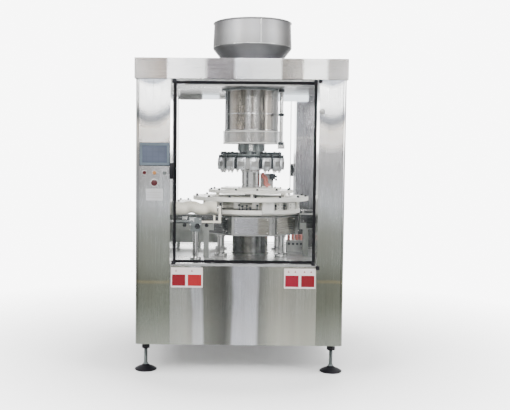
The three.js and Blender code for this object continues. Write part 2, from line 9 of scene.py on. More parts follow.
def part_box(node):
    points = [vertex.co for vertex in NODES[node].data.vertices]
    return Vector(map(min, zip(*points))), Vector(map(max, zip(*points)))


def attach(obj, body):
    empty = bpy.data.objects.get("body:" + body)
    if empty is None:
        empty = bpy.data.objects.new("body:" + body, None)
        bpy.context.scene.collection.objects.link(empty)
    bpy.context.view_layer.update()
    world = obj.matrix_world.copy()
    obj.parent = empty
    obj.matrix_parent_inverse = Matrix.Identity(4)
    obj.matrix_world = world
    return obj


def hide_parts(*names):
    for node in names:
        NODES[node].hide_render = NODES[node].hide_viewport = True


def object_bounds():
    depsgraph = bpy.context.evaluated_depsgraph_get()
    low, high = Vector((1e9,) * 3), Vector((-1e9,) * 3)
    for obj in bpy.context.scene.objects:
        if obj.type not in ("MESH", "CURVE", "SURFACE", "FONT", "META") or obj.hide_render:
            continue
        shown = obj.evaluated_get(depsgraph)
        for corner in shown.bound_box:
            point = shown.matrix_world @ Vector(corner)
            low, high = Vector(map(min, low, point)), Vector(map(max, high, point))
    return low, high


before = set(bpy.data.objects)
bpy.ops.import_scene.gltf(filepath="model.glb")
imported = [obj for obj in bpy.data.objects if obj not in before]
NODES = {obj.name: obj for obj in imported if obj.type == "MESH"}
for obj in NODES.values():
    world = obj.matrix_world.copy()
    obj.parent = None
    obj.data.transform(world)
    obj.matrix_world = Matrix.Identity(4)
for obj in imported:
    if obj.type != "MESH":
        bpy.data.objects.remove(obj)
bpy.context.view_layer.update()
TURN = 2 * math.pi
UP, TO_FRONT = (0, 0, 1), (0, -1, 0)


def middle(name):
    """The middle of a CAD node's box."""
    low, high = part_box(name)
    return tuple((a + b) / 2 for a, b in zip(low, high))


# ---- Places taken from the frame ------------------------------------------------------------------------
AXIS = middle("drum_housing")[0]  # the turret's axis stands at this X, and at Y = 0
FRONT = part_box("pillar_front_left")[0].y
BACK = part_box("pillar_rear_left")[1].y
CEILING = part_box("ceiling_plate")[0].z
STATIONS, FIRST_STATION = 16, math.radians(4.25)
CORNERS = ("front_left", "front_right", "rear_left", "rear_right")

# ---- Camera ---------------------------------------------------------------------------------------------
CAMERA_PLACE = (-0.0884, -5.5791, 1.3700)
CAMERA_YAW, CAMERA_PITCH, CAMERA_ROLL = math.radians(-0.513), math.radians(3.446), math.radians(0.534)
FOCAL_LENGTH, SENSOR = 54.702, 36.0  # millimetres
SHIFT = (0.07020, 0.00602)  # sideways and up, in image widths


def make_camera():
    camera = bpy.data.objects.new("camera", bpy.data.cameras.new("camera"))
    camera.data.sensor_width = SENSOR
    camera.data.lens = FOCAL_LENGTH
    camera.data.shift_x, camera.data.shift_y = SHIFT
    camera.data.clip_start = 0.05
    camera.matrix_world = (
        Matrix.Translation(CAMERA_PLACE)
        @ Matrix.Rotation(-CAMERA_YAW, 4, "Z")
        @ Matrix.Rotation(math.radians(90) - CAMERA_PITCH, 4, "X")
        @ Matrix.Rotation(CAMERA_ROLL, 4, "Z")
    )
    bpy.context.scene.collection.objects.link(camera)
    bpy.context.scene.camera = camera


# ---- Node trees and materials ---------------------------------------------------------------------------
class Nodes:
    """Short calls for the nodes of one tree."""

    def __init__(self, tree, coordinates):
        self.nodes, self.links = tree.nodes, tree.links
        self.coordinates = self.new("TexCoord").outputs
        self.place = self.coordinates[coordinates]

    def new(self, kind, *inputs, settings=None, **named):
        """A node with its settings, its first sockets by position and others by name."""
        node = self.nodes.new("ShaderNode" + kind)
        for setting, value in (settings or {}).items():
            setattr(node, setting, value)
        for socket, value in [*enumerate(inputs), *named.items()]:
            if isinstance(value, bpy.types.NodeSocket):
                self.links.new(value, node.inputs[socket])
            else:
                node.inputs[socket].default_value = value
        return node

    def noise(self, scale, detail=3.0, rough=0.55):
        """Noise stretched by its three scales, in cycles per metre along X, Y and Z."""
        mapping = self.new("Mapping", Vector=self.place, Scale=scale)
        return self.new(
            "TexNoise", Vector=mapping.outputs[0], Scale=1.0, Detail=detail, Roughness=rough
        ).outputs["Fac"]

    def split(self, vector):
        return self.new("SeparateXYZ", vector).outputs

    def math(self, operation, a, b=0.0):
        return self.new("Math", a, b, settings={"operation": operation}).outputs[0]

    def span(self, value, low, high, to_low, to_high):
        return self.new("MapRange", value, low, high, to_low, to_high).outputs[0]

    def ramp(self, value, stops):
        node = self.new("ValToRGB", value)
        elements = node.color_ramp.elements
        while len(elements) < len(stops):
            elements.new(0.5)
        for element, (place, color) in zip(elements, stops):
            element.position = place
            element.color = (*color, 1.0)
        return node.outputs["Color"]

    def mix(self, factor, a, b, blend="MIX"):
        node = self.new("Mix", factor, settings={"data_type": "RGBA", "blend_type": blend})
        for socket, color in ((node.inputs[6], a), (node.inputs[7], b)):
            if isinstance(color, bpy.types.NodeSocket):
                self.links.new(color, socket)
            else:
                socket.default_value = (*color, 1.0)
        return node.outputs[2]

    def tint(self, color, by):
        return self.mix(1.0, color, by, "MULTIPLY")


class Look(Nodes):
    """A material with one Principled shader, and the nodes that feed it."""

    def __init__(self, name, roughness=0.5, metallic=0.0, **constants):
        self.material = bpy.data.materials.new(name)
        self.material.use_nodes = True
        super().__init__(self.material.node_tree, "Object")
        self.shader = self.nodes["Principled BSDF"]
        for socket, value in {"Roughness": roughness, "Metallic": metallic, **constants}.items():
            self.shader.inputs[socket.replace("_", " ")].default_value = value

    def facing_y(self, color, other):
        """color on faces that look along Y, and the plain grey other on the rest."""
        across = self.math("ABSOLUTE", self.split(self.coordinates["Normal"])["Y"])
        return self.mix(self.span(across, 0.35, 0.65, 0.0, 1.0), grey(other), color)

    def set(self, socket, value):
        self.links.new(value, self.shader.inputs[socket])

    def bump(self, height, strength, depth):
        self.set("Normal", self.new("Bump", Strength=strength, Distance=depth, Height=height).outputs[0])


def grey(value):
    return (value, value, value)


def scaled(color, *factors):
    return tuple(c * f for c, f in zip(color, factors * 3))


def cast(value, red=1.0, green=1.0, blue=1.0):
    """A grey level with a faint colour cast."""
    return (value * red, value * green, value * blue)


PILLAR_MIDDLE = 0.57  # where the painted reflection lines that bow are lowest, left and right of the middle
BOW_FROM, BOW_TO = 1.2, 1.6  # heights over which they begin to bow


def brushed_steel(name, tone, grain, bands, roughness=0.3, along=None, wobble=0.0, bow=0.0, flat=None):
    """Stainless sheet: fine scratches along one axis, soft broad bands, handling marks and a faint cast.

    along is (axis, low, high, stops): painted reflections, bands of reflected light and dark that change
    along one axis. Each stop is a place and what cast takes. wobble moves their lines a little, bow bends
    them on the pillars, and flat is the grey of the faces that don't look along Y, where they stop.
    """
    look = Look(name, metallic=1.0)
    scratches = look.noise(grain, detail=2.0, rough=0.7)
    broad = look.noise(bands, detail=2.0, rough=0.45)
    marks = look.noise((5.0, 5.0, 4.0), detail=5.0, rough=0.6)
    warm, cool = scaled((1.0, 0.985, 0.96), tone), scaled((0.975, 0.99, 1.0), tone)
    color = look.ramp(marks, [(0.35, warm), (0.65, cool)])
    color = look.tint(color, look.ramp(broad, [(0.30, grey(0.80)), (0.50, grey(0.94)), (0.68, grey(1.0))]))
    color = look.tint(color, look.ramp(scratches, [(0.30, grey(0.86)), (0.70, grey(1.0))]))
    if along:
        axis, low, high, stops = along
        position = look.split(look.place)
        drift = look.span(look.noise((2.6, 2.6, 1.3), detail=2.0), 0.3, 0.7, -wobble, wobble)
        place = look.math("ADD", position[axis], drift)
        if bow:
            across = look.math("SUBTRACT", look.math("ABSOLUTE", position["X"]), PILLAR_MIDDLE)
            bend = look.span(position["Z"], BOW_FROM, BOW_TO, 0.0, bow)
            place = look.math(
                "SUBTRACT", place, look.math("MULTIPLY", look.math("MULTIPLY", across, across), bend)
            )
        # painted reflections: bright and dark bands of the room's reflection tinted into the colour
        level = look.span(place, low, high, 0.0, 1.0)
        painted_reflections = look.ramp(level, [((at - low) / (high - low), cast(*values)) for at, *values in stops])
        color = look.tint(color, look.facing_y(painted_reflections, flat) if flat else painted_reflections)
    look.set("Base Color", color)
    fine, worn = look.span(scratches, 0.3, 0.7, -0.06, 0.08), look.span(marks, 0.35, 0.7, -0.03, 0.06)
    look.set("Roughness", look.math("ADD", look.math("ADD", fine, worn), roughness))
    look.bump(scratches, 0.22, 0.0005)
    return look.material


def polished_steel(name, tone, roughness=0.14):
    """Bright turned stainless: fine level turning lines and faint fingerprints."""
    look = Look(name, metallic=1.0)
    lines = look.noise((3.0, 3.0, 700.0), detail=2.0)
    marks = look.noise((6.0, 6.0, 4.0), detail=4.0, rough=0.5)
    color = look.ramp(marks, [(0.3, scaled((0.96, 0.95, 0.93), tone)), (0.7, grey(tone))])
    look.set("Base Color", look.tint(color, look.ramp(lines, [(0.3, grey(0.92)), (0.7, grey(1.0))])))
    look.set("Roughness", look.math("ADD", look.span(marks, 0.35, 0.7, -0.02, 0.06), roughness))
    look.bump(lines, 0.05, 0.0002)
    return look.material


def satin_metal(name, color, roughness, speck=260.0, metallic=1.0):
    """Machined or blasted metal: fine speckle, slow tone change, rubbed patches."""
    look = Look(name, metallic=metallic)
    fine = look.noise(grey(speck), detail=3.0)
    slow = look.noise((9.0, 9.0, 9.0), detail=4.0)
    light = tuple(min(1.0, c) for c in scaled(color, 1.10))
    base = look.ramp(slow, [(0.3, scaled(color, 0.78)), (0.7, light)])
    look.set("Base Color", look.tint(base, look.ramp(fine, [(0.35, grey(0.88)), (0.65, grey(1.0))])))
    look.set("Roughness", look.math("ADD", look.span(slow, 0.3, 0.7, -0.07, 0.10), roughness))
    look.bump(fine, 0.18, 0.0004)
    return look.material


def plastic(name, color, roughness=0.42, soil=0.85, gloss=0.5, grain=420.0, depth=0.0003, **constants):
    """Moulded or milled plastic: fine texture, slight yellowing and grime in slow patches."""
    look = Look(name, Specular_IOR_Level=gloss, **constants)
    fine = look.noise(grey(grain), detail=2.0)
    slow = look.noise((7.0, 7.0, 7.0), detail=5.0, rough=0.6)
    soiled = scaled(color, soil * 1.02, soil, soil * 0.95)
    look.set("Base Color", look.ramp(slow, [(0.32, soiled), (0.58, color)]))
    look.set("Roughness", look.math("ADD", look.span(slow, 0.3, 0.7, 0.08, -0.06), roughness))
    look.bump(fine, 0.25, depth)
    return look.material


def glass(name, color, face, edge, roughness=0.03):
    """Clear sheet seen mostly through: it shows at glancing angles, with faint wiping marks."""
    look = Look(name, IOR=1.5)
    wiped = look.noise((2.5, 2.5, 9.0), detail=6.0, rough=0.65)
    look.set("Base Color", look.ramp(wiped, [(0.3, scaled(color, 0.93)), (0.7, color)]))
    look.set("Roughness", look.math("ADD", look.span(wiped, 0.4, 0.75, 0.0, 0.10), roughness))
    facing = look.new("LayerWeight", Blend=0.25).outputs["Facing"]
    seen = look.span(facing, 0.0, 1.0, face, edge)
    look.set("Alpha", look.math("ADD", seen, look.span(wiped, 0.5, 0.8, 0.0, 0.03)))
    return look.material


def screen(name):
    """A lit operator screen: a blue-grey picture with soft blocks and no writing."""
    look = Look(name, roughness=0.18, Emission_Strength=0.10)
    mapping = look.new("Mapping", Vector=look.place, Scale=(26.0, 1.0, 34.0))
    square = {"distance": "CHEBYCHEV"}
    tiles = look.new("TexVoronoi", settings=square, Vector=mapping.outputs[0], Scale=1.0, Randomness=0.0)
    blocks = [(0.36, (0.056, 0.068, 0.100)), (0.48, (0.050, 0.062, 0.090))]
    drift = look.noise((8.0, 8.0, 8.0), detail=3.0)
    shade = look.ramp(drift, [(0.3, grey(0.80)), (0.7, grey(1.0))])
    color = look.tint(look.ramp(tiles.outputs["Distance"], blocks), shade)
    look.set("Base Color", color)
    look.set("Emission Color", color)
    look.bump(drift, 0.02, 0.0005)
    return look.material


# Painted reflections along each large steel part: bands of reflected light and dark put into its colour.
# Each table holds the axis, where the bands start and end, and stops of a place, a grey level and the
# red, green and blue of its cast.
PILLAR_PAINTED_REFLECTIONS = ("Z", 0.19, 1.90, [
    (0.19, 0.25, 0.99, 1.04, 0.90), (0.44, 0.18, 0.98, 1.05, 0.86), (0.595, 0.19, 0.99, 1.04, 0.84),
    (0.608, 0.25, 1.12, 1.02, 0.66), (0.624, 0.19, 0.99, 1.04, 0.86), (0.74, 0.27, 0.98, 1.04, 0.90),
    (0.92, 0.33, 0.98, 1.03, 0.93), (1.02, 0.46, 0.97, 1.01, 0.97), (1.11, 0.60, 0.97, 1.0, 1.02),
    (1.30, 0.46, 1.0, 1.0, 1.02), (1.43, 0.48, 1.02, 1.0, 1.0), (1.50, 0.90, 1.06, 1.0, 0.96),
    (1.575, 0.80, 1.06, 1.0, 0.93), (1.63, 0.22, 0.96, 0.99, 1.06), (1.655, 0.26, 0.96, 0.99, 1.06),
    (1.715, 1.0), (1.84, 1.0), (1.868, 0.34, 0.94, 0.98, 1.08),
])
# painted reflections on the rear pillars
REAR_PAINTED_REFLECTIONS = ("Z", 0.19, 1.90, [
    (0.19, 0.20, 1.0, 1.02, 0.95), (1.0, 0.22, 1.0, 1.0, 1.03), (1.1, 0.52, 0.99, 0.98, 1.05),
    (1.545, 0.62, 0.99, 0.98, 1.05), (1.555, 0.90), (1.565, 0.62, 0.99, 0.98, 1.05),
    (1.90, 0.56, 0.99, 0.98, 1.05),
])
# painted reflections on the lower panels
PANEL_PAINTED_REFLECTIONS = ("X", -0.45, 0.50, [
    (-0.45, 0.36, 1.0, 1.02, 0.93), (-0.35, 0.36, 1.0, 1.02, 0.94), (-0.318, 0.30, 1.0, 1.02, 0.96),
    (-0.302, 0.56, 0.97, 1.0, 1.04), (-0.255, 0.54, 0.97, 1.0, 1.04), (-0.238, 0.18, 1.0, 1.03, 0.93),
    (-0.19, 0.14, 1.0, 1.03, 0.93), (-0.10, 0.10, 1.0, 1.02, 0.96), (-0.055, 0.19, 1.0, 1.02, 0.96),
    (-0.035, 0.52, 0.97, 0.98, 1.06), (0.115, 0.54, 0.98, 0.99, 1.05), (0.135, 0.20, 1.0, 1.02, 0.94),
    (0.165, 0.26, 1.0, 1.02, 0.92), (0.20, 0.38, 1.01, 1.02, 0.90), (0.32, 0.40, 1.01, 1.02, 0.90),
    (0.50, 0.34, 1.0, 1.02, 0.88),
])
# painted reflections on the top cover
CAP_PAINTED_REFLECTIONS = ("X", -0.68, 0.68, [
    (-0.68, 0.34, 1.03, 1.0, 0.98), (-0.50, 0.22, 1.14, 1.0, 0.90), (-0.465, 0.21, 1.12, 1.0, 0.92),
    (-0.448, 0.90, 1.0, 0.99, 1.02), (-0.24, 0.86), (-0.21, 0.22, 1.04, 0.98, 1.04),
    (-0.06, 0.20, 1.04, 0.98, 1.02), (-0.04, 0.84, 0.97, 0.99, 1.05), (0.24, 0.90),
    (0.26, 0.22, 1.07, 1.0, 0.92), (0.38, 0.30, 1.05, 1.0, 0.95), (0.40, 0.95), (0.53, 0.90),
    (0.56, 0.26, 1.04, 1.0, 0.98), (0.68, 0.34, 1.02, 1.0, 0.99),
])
# painted reflections on the drum
DRUM_PAINTED_REFLECTIONS = ("X", -0.11, 0.29, [
    (-0.103, 0.70), (-0.101, 0.10), (-0.094, 0.08), (-0.090, 0.85), (-0.084, 0.80), (-0.081, 0.12),
    (-0.072, 0.22), (-0.064, 0.60, 1.04, 1.0, 0.96), (-0.04, 0.38, 1.12, 1.0, 0.88),
    (0.03, 0.34, 1.12, 1.0, 0.86), (0.055, 0.46, 1.01, 1.0, 1.0), (0.085, 0.20, 1.10, 1.0, 0.90),
    (0.12, 0.48, 1.02, 1.0, 0.98), (0.16, 0.42, 1.10, 1.0, 0.90), (0.215, 0.46, 1.10, 1.0, 0.90),
    (0.24, 1.0), (0.29, 0.60),
])
# painted reflections on the hopper
HOPPER_PAINTED_REFLECTIONS = ("Z", 2.02, 2.35, [
    (2.02, 0.30, 0.98, 0.98, 1.04), (2.10, 0.22, 0.97, 0.98, 1.06), (2.168, 0.20, 0.98, 1.0, 1.02),
    (2.176, 0.36, 1.0, 1.0, 1.0), (2.26, 0.42, 1.0, 0.99, 1.01), (2.35, 0.36, 1.0, 0.99, 1.02),
])
# painted reflections on the drive housing's cover plates
HOUSING_PAINTED_REFLECTIONS = ("X", -0.28, 0.46, [
    (-0.28, 0.14), (-0.13, 0.13, 1.0, 1.0, 1.03), (-0.055, 0.22), (-0.04, 0.52, 0.97, 0.98, 1.06),
    (0.12, 0.44, 0.98, 0.99, 1.05), (0.135, 0.28, 1.05, 1.01, 0.90), (0.225, 0.24, 1.05, 1.01, 0.88),
    (0.235, 0.10), (0.255, 0.10), (0.265, 0.38, 1.05, 1.01, 0.90), (0.40, 0.32, 1.05, 1.01, 0.88),
    (0.42, 0.10), (0.46, 0.10),
])
# painted reflections on the main column
COLUMN_PAINTED_REFLECTIONS = ("X", -0.05, 0.225, [
    (-0.05, 0.40, 1.06, 1.01, 0.90), (-0.02, 0.07), (0.01, 0.07), (0.03, 0.18, 1.06, 1.01, 0.90),
    (0.09, 0.14, 1.05, 1.01, 0.92), (0.11, 0.34), (0.15, 0.28), (0.165, 0.07), (0.19, 0.09),
    (0.20, 0.50, 1.05, 1.0, 0.92), (0.225, 0.60),
])

UPRIGHT, LEVEL, ACROSS = (620.0, 620.0, 3.0), (3.0, 3.0, 620.0), (3.0, 620.0, 620.0)  # sheet grain
ROLLED, COVER = (500.0, 500.0, 4.0), (4.0, 4.0, 500.0)
SHEET_BANDS = (5.0, 5.0, 0.25)

LOOKS = {
    "sheet": brushed_steel("brushed_sheet", 0.90, UPRIGHT, SHEET_BANDS, 0.20, PILLAR_PAINTED_REFLECTIONS, 0.015, 4.0),
    "panel": brushed_steel(
        "brushed_panel", 0.92, UPRIGHT, (11.0, 7.0, 0.2), 0.20, PANEL_PAINTED_REFLECTIONS, 0.018, flat=0.30
    ),
    "cap": brushed_steel("brushed_cap", 0.94, LEVEL, (1.5, 1.5, 5.0), 0.22, CAP_PAINTED_REFLECTIONS, 0.012, flat=0.62),
    "deck": brushed_steel("brushed_deck", 0.55, ACROSS, (1.5, 4.0, 4.0), 0.28),
    "drum": brushed_steel("rolled_drum", 0.90, ROLLED, (9.0, 9.0, 0.4), 0.20, DRUM_PAINTED_REFLECTIONS, 0.004),
    "polished": polished_steel("polished_steel", tone=0.62),
    "rolled": brushed_steel(
        "rolled_hopper", 0.90, (350.0, 350.0, 4.0), (7.0, 7.0, 0.5), 0.46, HOPPER_PAINTED_REFLECTIONS, 0.004
    ),
    "machined": satin_metal("machined_alloy", (0.66, 0.68, 0.70), 0.34),
    "housing_plate": brushed_steel(
        "housing_plate", 0.90, COVER, (5.0, 5.0, 5.0), 0.24, HOUSING_PAINTED_REFLECTIONS, 0.004
    ),
    "column": brushed_steel("column_tube", 0.90, ROLLED, (14.0, 14.0, 0.4), 0.18, COLUMN_PAINTED_REFLECTIONS, 0.003),
    "housing": satin_metal("housing_alloy", (0.36, 0.36, 0.35), 0.34),
    "rear_sheet": brushed_steel("rear_sheet", 0.90, UPRIGHT, SHEET_BANDS, 0.22, REAR_PAINTED_REFLECTIONS, 0.01),
    "film": plastic("label_film", (0.40, 0.405, 0.42), 0.4, 0.92, 0.3),
    "sign": plastic("sign_plate", (0.56, 0.51, 0.51), 0.4, 0.92, 0.3),
    # the star wheel's grey-beige is darkened to stand for the shade under the main disc: painted shade
    "star": plastic("star_sheet_painted_shade", (0.46, 0.45, 0.41), 0.42, 0.86),
    "lamp": plastic(
        "lamp_cover", (0.80, 0.86, 0.92), 0.4, Emission_Color=(0.86, 0.93, 1.0, 1.0), Emission_Strength=2.2
    ),
    "gunmetal": satin_metal("gunmetal", (0.20, 0.22, 0.22), 0.36, 420.0),
    "conveyor": satin_metal("conveyor_alloy", (0.30, 0.31, 0.29), 0.34, 380.0),
    "bolt": satin_metal("bolt_steel", (0.72, 0.72, 0.70), 0.25, 900.0),
    "dark_metal": satin_metal("blackened_steel", (0.045, 0.05, 0.055), 0.42, 500.0),
    "enamel": satin_metal("motor_enamel", (0.12, 0.24, 0.40), 0.38, metallic=0.0),
    "white": plastic("white_sheet", (0.90, 0.89, 0.84), 0.42, 0.90),
    "plate": plastic("label_plate", (0.88, 0.88, 0.86), 0.35, 0.92),
    "cream": plastic("cream_plastic", (0.82, 0.78, 0.67), 0.38, 0.88),
    "black": plastic("black_moulding", (0.006, 0.006, 0.008), 0.42, 1.6, 0.15),
    "rubber": plastic("black_rubber", (0.003, 0.003, 0.004), 0.6, 1.8, 0.1, depth=0.0006),
    "silicone": plastic("grey_silicone", (0.60, 0.62, 0.62), 0.5, depth=0.0005),
    "belt": plastic("conveyor_belt", (0.50, 0.51, 0.50), 0.6, grain=260.0, depth=0.0008),
    "bezel": plastic("screen_bezel", (0.085, 0.110, 0.135), 0.35, gloss=0.3),
    "red": plastic("red_plastic", (0.050, 0.0035, 0.006), 0.32, 0.75, 0.35),
    "crimson": plastic("crimson_film", (0.145, 0.0020, 0.008), 0.36, 0.80, 0.25),
    "coral": plastic("coral_film", (0.25, 0.008, 0.012), 0.36, 0.84, 0.25),
    "rose_red": plastic("rose_red_film", (0.19, 0.0020, 0.016), 0.36, 0.82, 0.25),
    "amber": plastic("amber_plastic", (0.30, 0.135, 0.045), 0.32, 0.8, 0.35),
    "rose": plastic("rose_hose", (0.62, 0.20, 0.17), 0.4, 0.8),
    "window": glass("window_glass", (0.30, 0.34, 0.34), 0.02, 0.35),
    "milky": glass("milky_polycarbonate", (1.0, 1.0, 0.99), 0.09, 0.80, roughness=0.2),
    "tube": glass("clear_tube", (0.88, 0.90, 0.90), 0.45, 0.9, roughness=0.12),
    "screen": screen("lit_screen"),
}


# ---- Meshes ---------------------------------------------------------------------------------------------
def angles(count):
    return [TURN * i / count for i in range(count)]


def circle(radius, sides, place):
    """Points round a circle, or its centre alone at radius 0. place(across, up) gives each point."""
    around = angles(sides) if radius else [0.0]
    return [place(radius * math.cos(a), radius * math.sin(a)) for a in around]


def hoop(centre, side, other, radius, sides):
    return [centre + (side * math.cos(a) + other * math.sin(a)) * radius for a in angles(sides)]


class Kit:
    """Small solids of one material that move with one body, collected into one piece."""

    def __init__(self, name, body, look):
        self.name, self.body, self.look = name, body, look
        self.mesh = bmesh.new()

    def add_rings(self, rings, closed=False):
        """A skin through rings of points. A ring of one point closes to a tip, and open ends get caps."""
        made = [[self.mesh.verts.new(point) for point in ring] for ring in rings]
        pairs = list(zip(made, made[1:])) + ([(made[-1], made[0])] if closed else [])
        for low, high in pairs:
            count = max(len(low), len(high))
            for i in range(count):
                j = (i + 1) % count
                corners = [low[i % len(low)], low[j % len(low)], high[j % len(high)], high[i % len(high)]]
                unique = list(dict.fromkeys(corners))
                if len(unique) > 2:
                    self.mesh.faces.new(unique)
        if not closed:
            for ring in (made[0], made[-1]):
                if len(ring) > 2:
                    self.mesh.faces.new(ring)
        return self

    def box(self, low, high, turn=0.0):
        (x0, y0, z0), (x1, y1, z1) = low, high
        pivot = Vector(((x0 + x1) / 2, (y0 + y1) / 2, 0))
        spin = Matrix.Rotation(turn, 3, "Z")
        outline = [Vector((x, y, 0)) for x, y in ((x0, y0), (x1, y0), (x1, y1), (x0, y1))]
        ends = [Vector((0, 0, z)) for z in (z0, z1)]
        return self.add_rings([[spin @ (p + end - pivot) + pivot for p in outline] for end in ends])

    def block(self, at, half_x, half_y, z0, z1, turn=0.0):
        """An upright box round a place, turned about it."""
        return self.box((at[0] - half_x, at[1] - half_y, z0), (at[0] + half_x, at[1] + half_y, z1), turn)

    def rod(self, start, end, radius, sides=20, tip=None, chamfer=0.0):
        """A bar between two points. tip is its radius at the far end, and chamfer breaks both edges."""
        start, end = Vector(start), Vector(end)
        along = (end - start).normalized()
        side = along.orthogonal().normalized()
        other = along.cross(side)
        tip = radius if tip is None else tip
        stops = [(start, radius), (end, tip)]
        if chamfer:
            stops = [
                (start, radius - chamfer), (start + along * chamfer, radius),
                (end - along * chamfer, tip), (end, tip - chamfer),
            ]
        return self.add_rings([hoop(centre, side, other, r, sides) for centre, r in stops])

    def post(self, at, z0, z1, radius, **more):
        """An upright bar."""
        return self.rod((at[0], at[1], z0), (at[0], at[1], z1), radius, **more)

    def lathe(self, profile, at=(AXIS, 0), sides=96):
        """A profile of (radius, height) turned about an upright axis. It closes unless it starts on it."""
        rings = [circle(r, sides, lambda u, v: (at[0] + u, at[1] + v, z)) for r, z in profile]
        return self.add_rings(rings, closed=profile[0][0] > 0)

    def wall_ring(self, x, z, section, sides=40):
        """A ring that stands out of the front face, from a closed section of (radius, height)."""
        rings = [circle(r, sides, lambda u, v: (x + u, FRONT - out, z + v)) for r, out in section]
        return self.add_rings(rings, closed=True)

    def frame(self, axis, at, lows, highs, width, thick):
        """A flat rectangular frame of four strips, lying across the X or Y axis."""
        (a0, z0), (a1, z1) = lows, highs
        strips = [
            ((a0, z0), (a1, z0 + width)), ((a0, z1 - width), (a1, z1)),
            ((a0, z0 + width), (a0 + width, z1 - width)), ((a1 - width, z0 + width), (a1, z1 - width)),
        ]
        for (p0, q0), (p1, q1) in strips:
            if axis == "y":
                self.box((p0, at, q0), (p1, at + thick, q1))
            else:
                self.box((at, p0, q0), (at + thick, p1, q1))
        return self

    def tube(self, points, radius, sides=12):
        """A bent tube of one radius along points."""
        points = [Vector(p) for p in points]
        side = (points[1] - points[0]).orthogonal().normalized()
        rings = []
        for i, point in enumerate(points):
            along = (points[min(i + 1, len(points) - 1)] - points[max(i - 1, 0)]).normalized()
            side = (side - along * side.dot(along)).normalized()
            rings.append(hoop(point, side, along.cross(side), radius, sides))
        return self.add_rings(rings)

    def socket_screw(self, at, out, size):
        """A cap screw head with its hexagon socket, standing out of a surface at a point."""
        at, out = Vector(at), Vector(out).normalized()
        self.rod(at, at + out * size, size, sides=16, chamfer=size * 0.15)
        return self.rod(at + out * size * 0.9, at + out * size * 1.05, size * 0.55, sides=6)

    def hex_bolt(self, at, size):
        at, out = Vector(at), Vector(UP)
        self.rod(at, at + out * size * 0.2, size * 1.35, sides=20)
        return self.rod(at + out * size * 0.2, at + out * size * 0.9, size, sides=6, chamfer=size * 0.12)

    def done(self, bevel=0.0, smooth=35.0, replaces=(), slot=None):
        bmesh.ops.recalc_face_normals(self.mesh, faces=self.mesh.faces)
        data = bpy.data.meshes.new(self.name)
        self.mesh.to_mesh(data)
        self.mesh.free()
        piece = bpy.data.objects.new(self.name, data)
        bpy.context.scene.collection.objects.link(piece)
        data.materials.append(LOOKS[self.look])
        smooth_edges(piece, smooth)
        if bevel:
            round_edges(piece, bevel, smooth)
        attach(piece, self.body)
        if replaces:
            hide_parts(*replaces)
        return piece


def smooth_edges(piece, degrees):
    """Smooth shading with crisp edges past an angle."""
    piece.data.polygons.foreach_set("use_smooth", [True] * len(piece.data.polygons))
    piece.data.set_sharp_from_angle(angle=math.radians(degrees))


def round_edges(piece, width, degrees):
    """A small round on the edges past an angle."""
    rounding = piece.modifiers.new("edge_round", "BEVEL")
    rounding.width = width
    rounding.segments = 2
    rounding.limit_method = "ANGLE"
    rounding.angle_limit = math.radians(degrees)


def outward(angle):
    """The level direction away from the turret's axis, and the one across it."""
    out = Vector((math.sin(angle), -math.cos(angle), 0))
    return out, Vector((-out.y, out.x, 0))


def on_circle(radius, angle, z=0.0):
    """A point round the turret's axis. Angle 0 is at the front, and it grows towards the right."""
    return Vector((AXIS + radius * math.sin(angle), -radius * math.cos(angle), z))


def stations(count=STATIONS, first=FIRST_STATION):
    return [first + TURN * i / count for i in range(count)]


def band(inner, outer, z0, z1):
    """The profile of a plain ring."""
    return [(inner, z0), (outer, z0), (outer, z1), (inner, z1)]


def stand_in(name, node, body, look, profile, slot, at=(AXIS, 0), sides=128):
    """A finely turned piece that stands for one CAD node."""
    return Kit(name, body, look).lathe(profile, at, sides).done(smooth=30, replaces=[node], slot=slot)


def smooth_path(points, steps=6):
    """Catmull-Rom points through points."""
    points = [Vector(p) for p in points]
    padded = [points[0] * 2 - points[1], *points, points[-1] * 2 - points[-2]]
    path = []
    for p0, p1, p2, p3 in zip(padded, padded[1:], padded[2:], padded[3:]):
        for t in (k / steps for k in range(steps)):
            square, cube = 2 * p0 - 5 * p1 + 4 * p2 - p3, 3 * p1 - p0 - 3 * p2 + p3
            path.append(0.5 * (2 * p1 + (p2 - p0) * t + square * t * t + cube * t ** 3))
    return [*path, points[-1]]


# ---- CAD nodes that stay in view ------------------------------------------------------------------------
CAD_LOOKS = {
    "sheet": ["pillar_front_left", "pillar_front_right"],
    "rear_sheet": ["pillar_rear_left", "pillar_rear_right"],
    "panel": ["lower_panel_front", "lower_panel_rear", "lower_panel_left", "lower_panel_right"],
    "cap": ["top_cover"],
    "deck": ["deck_plate", "ceiling_plate", "base_plate"],
    "machined": ["station_ring", "motor_pulley", "shaft_pulley"],
    "conveyor": ["infeed_conveyor", "outfeed_conveyor"],
    "gunmetal": ["cross_clamp", "mode_selector"],
    "housing": ["drive_housing"],
    "white": ["infeed_guide_plate"],
    "star": ["star_wheel"],
    "cream": ["screw_support_arm"],
    "black": ["door_hinge_upper", "door_hinge_lower", "rear_hinge_post", "screw_bearing"],
    "rubber": ["front_door_seal", "drive_belt"],
    "window": ["front_door_glass", "rear_door_glass", "side_window_left", "side_window_right"],
    "enamel": ["gearmotor"],
    "bezel": ["hmi_panel"],
    "polished": ["lift_rod", "guide_post"],
    "red": ["stop_button"],
    "amber": ["start_button"],
}
SHEET_ROUND, MOULDED_ROUND, CRISP = 0.0018, 0.0012, 35
SHEET_LOOKS = ("sheet", "rear_sheet", "panel", "cap")
LEFT_SQUARE = ("station_ring", "star_wheel")


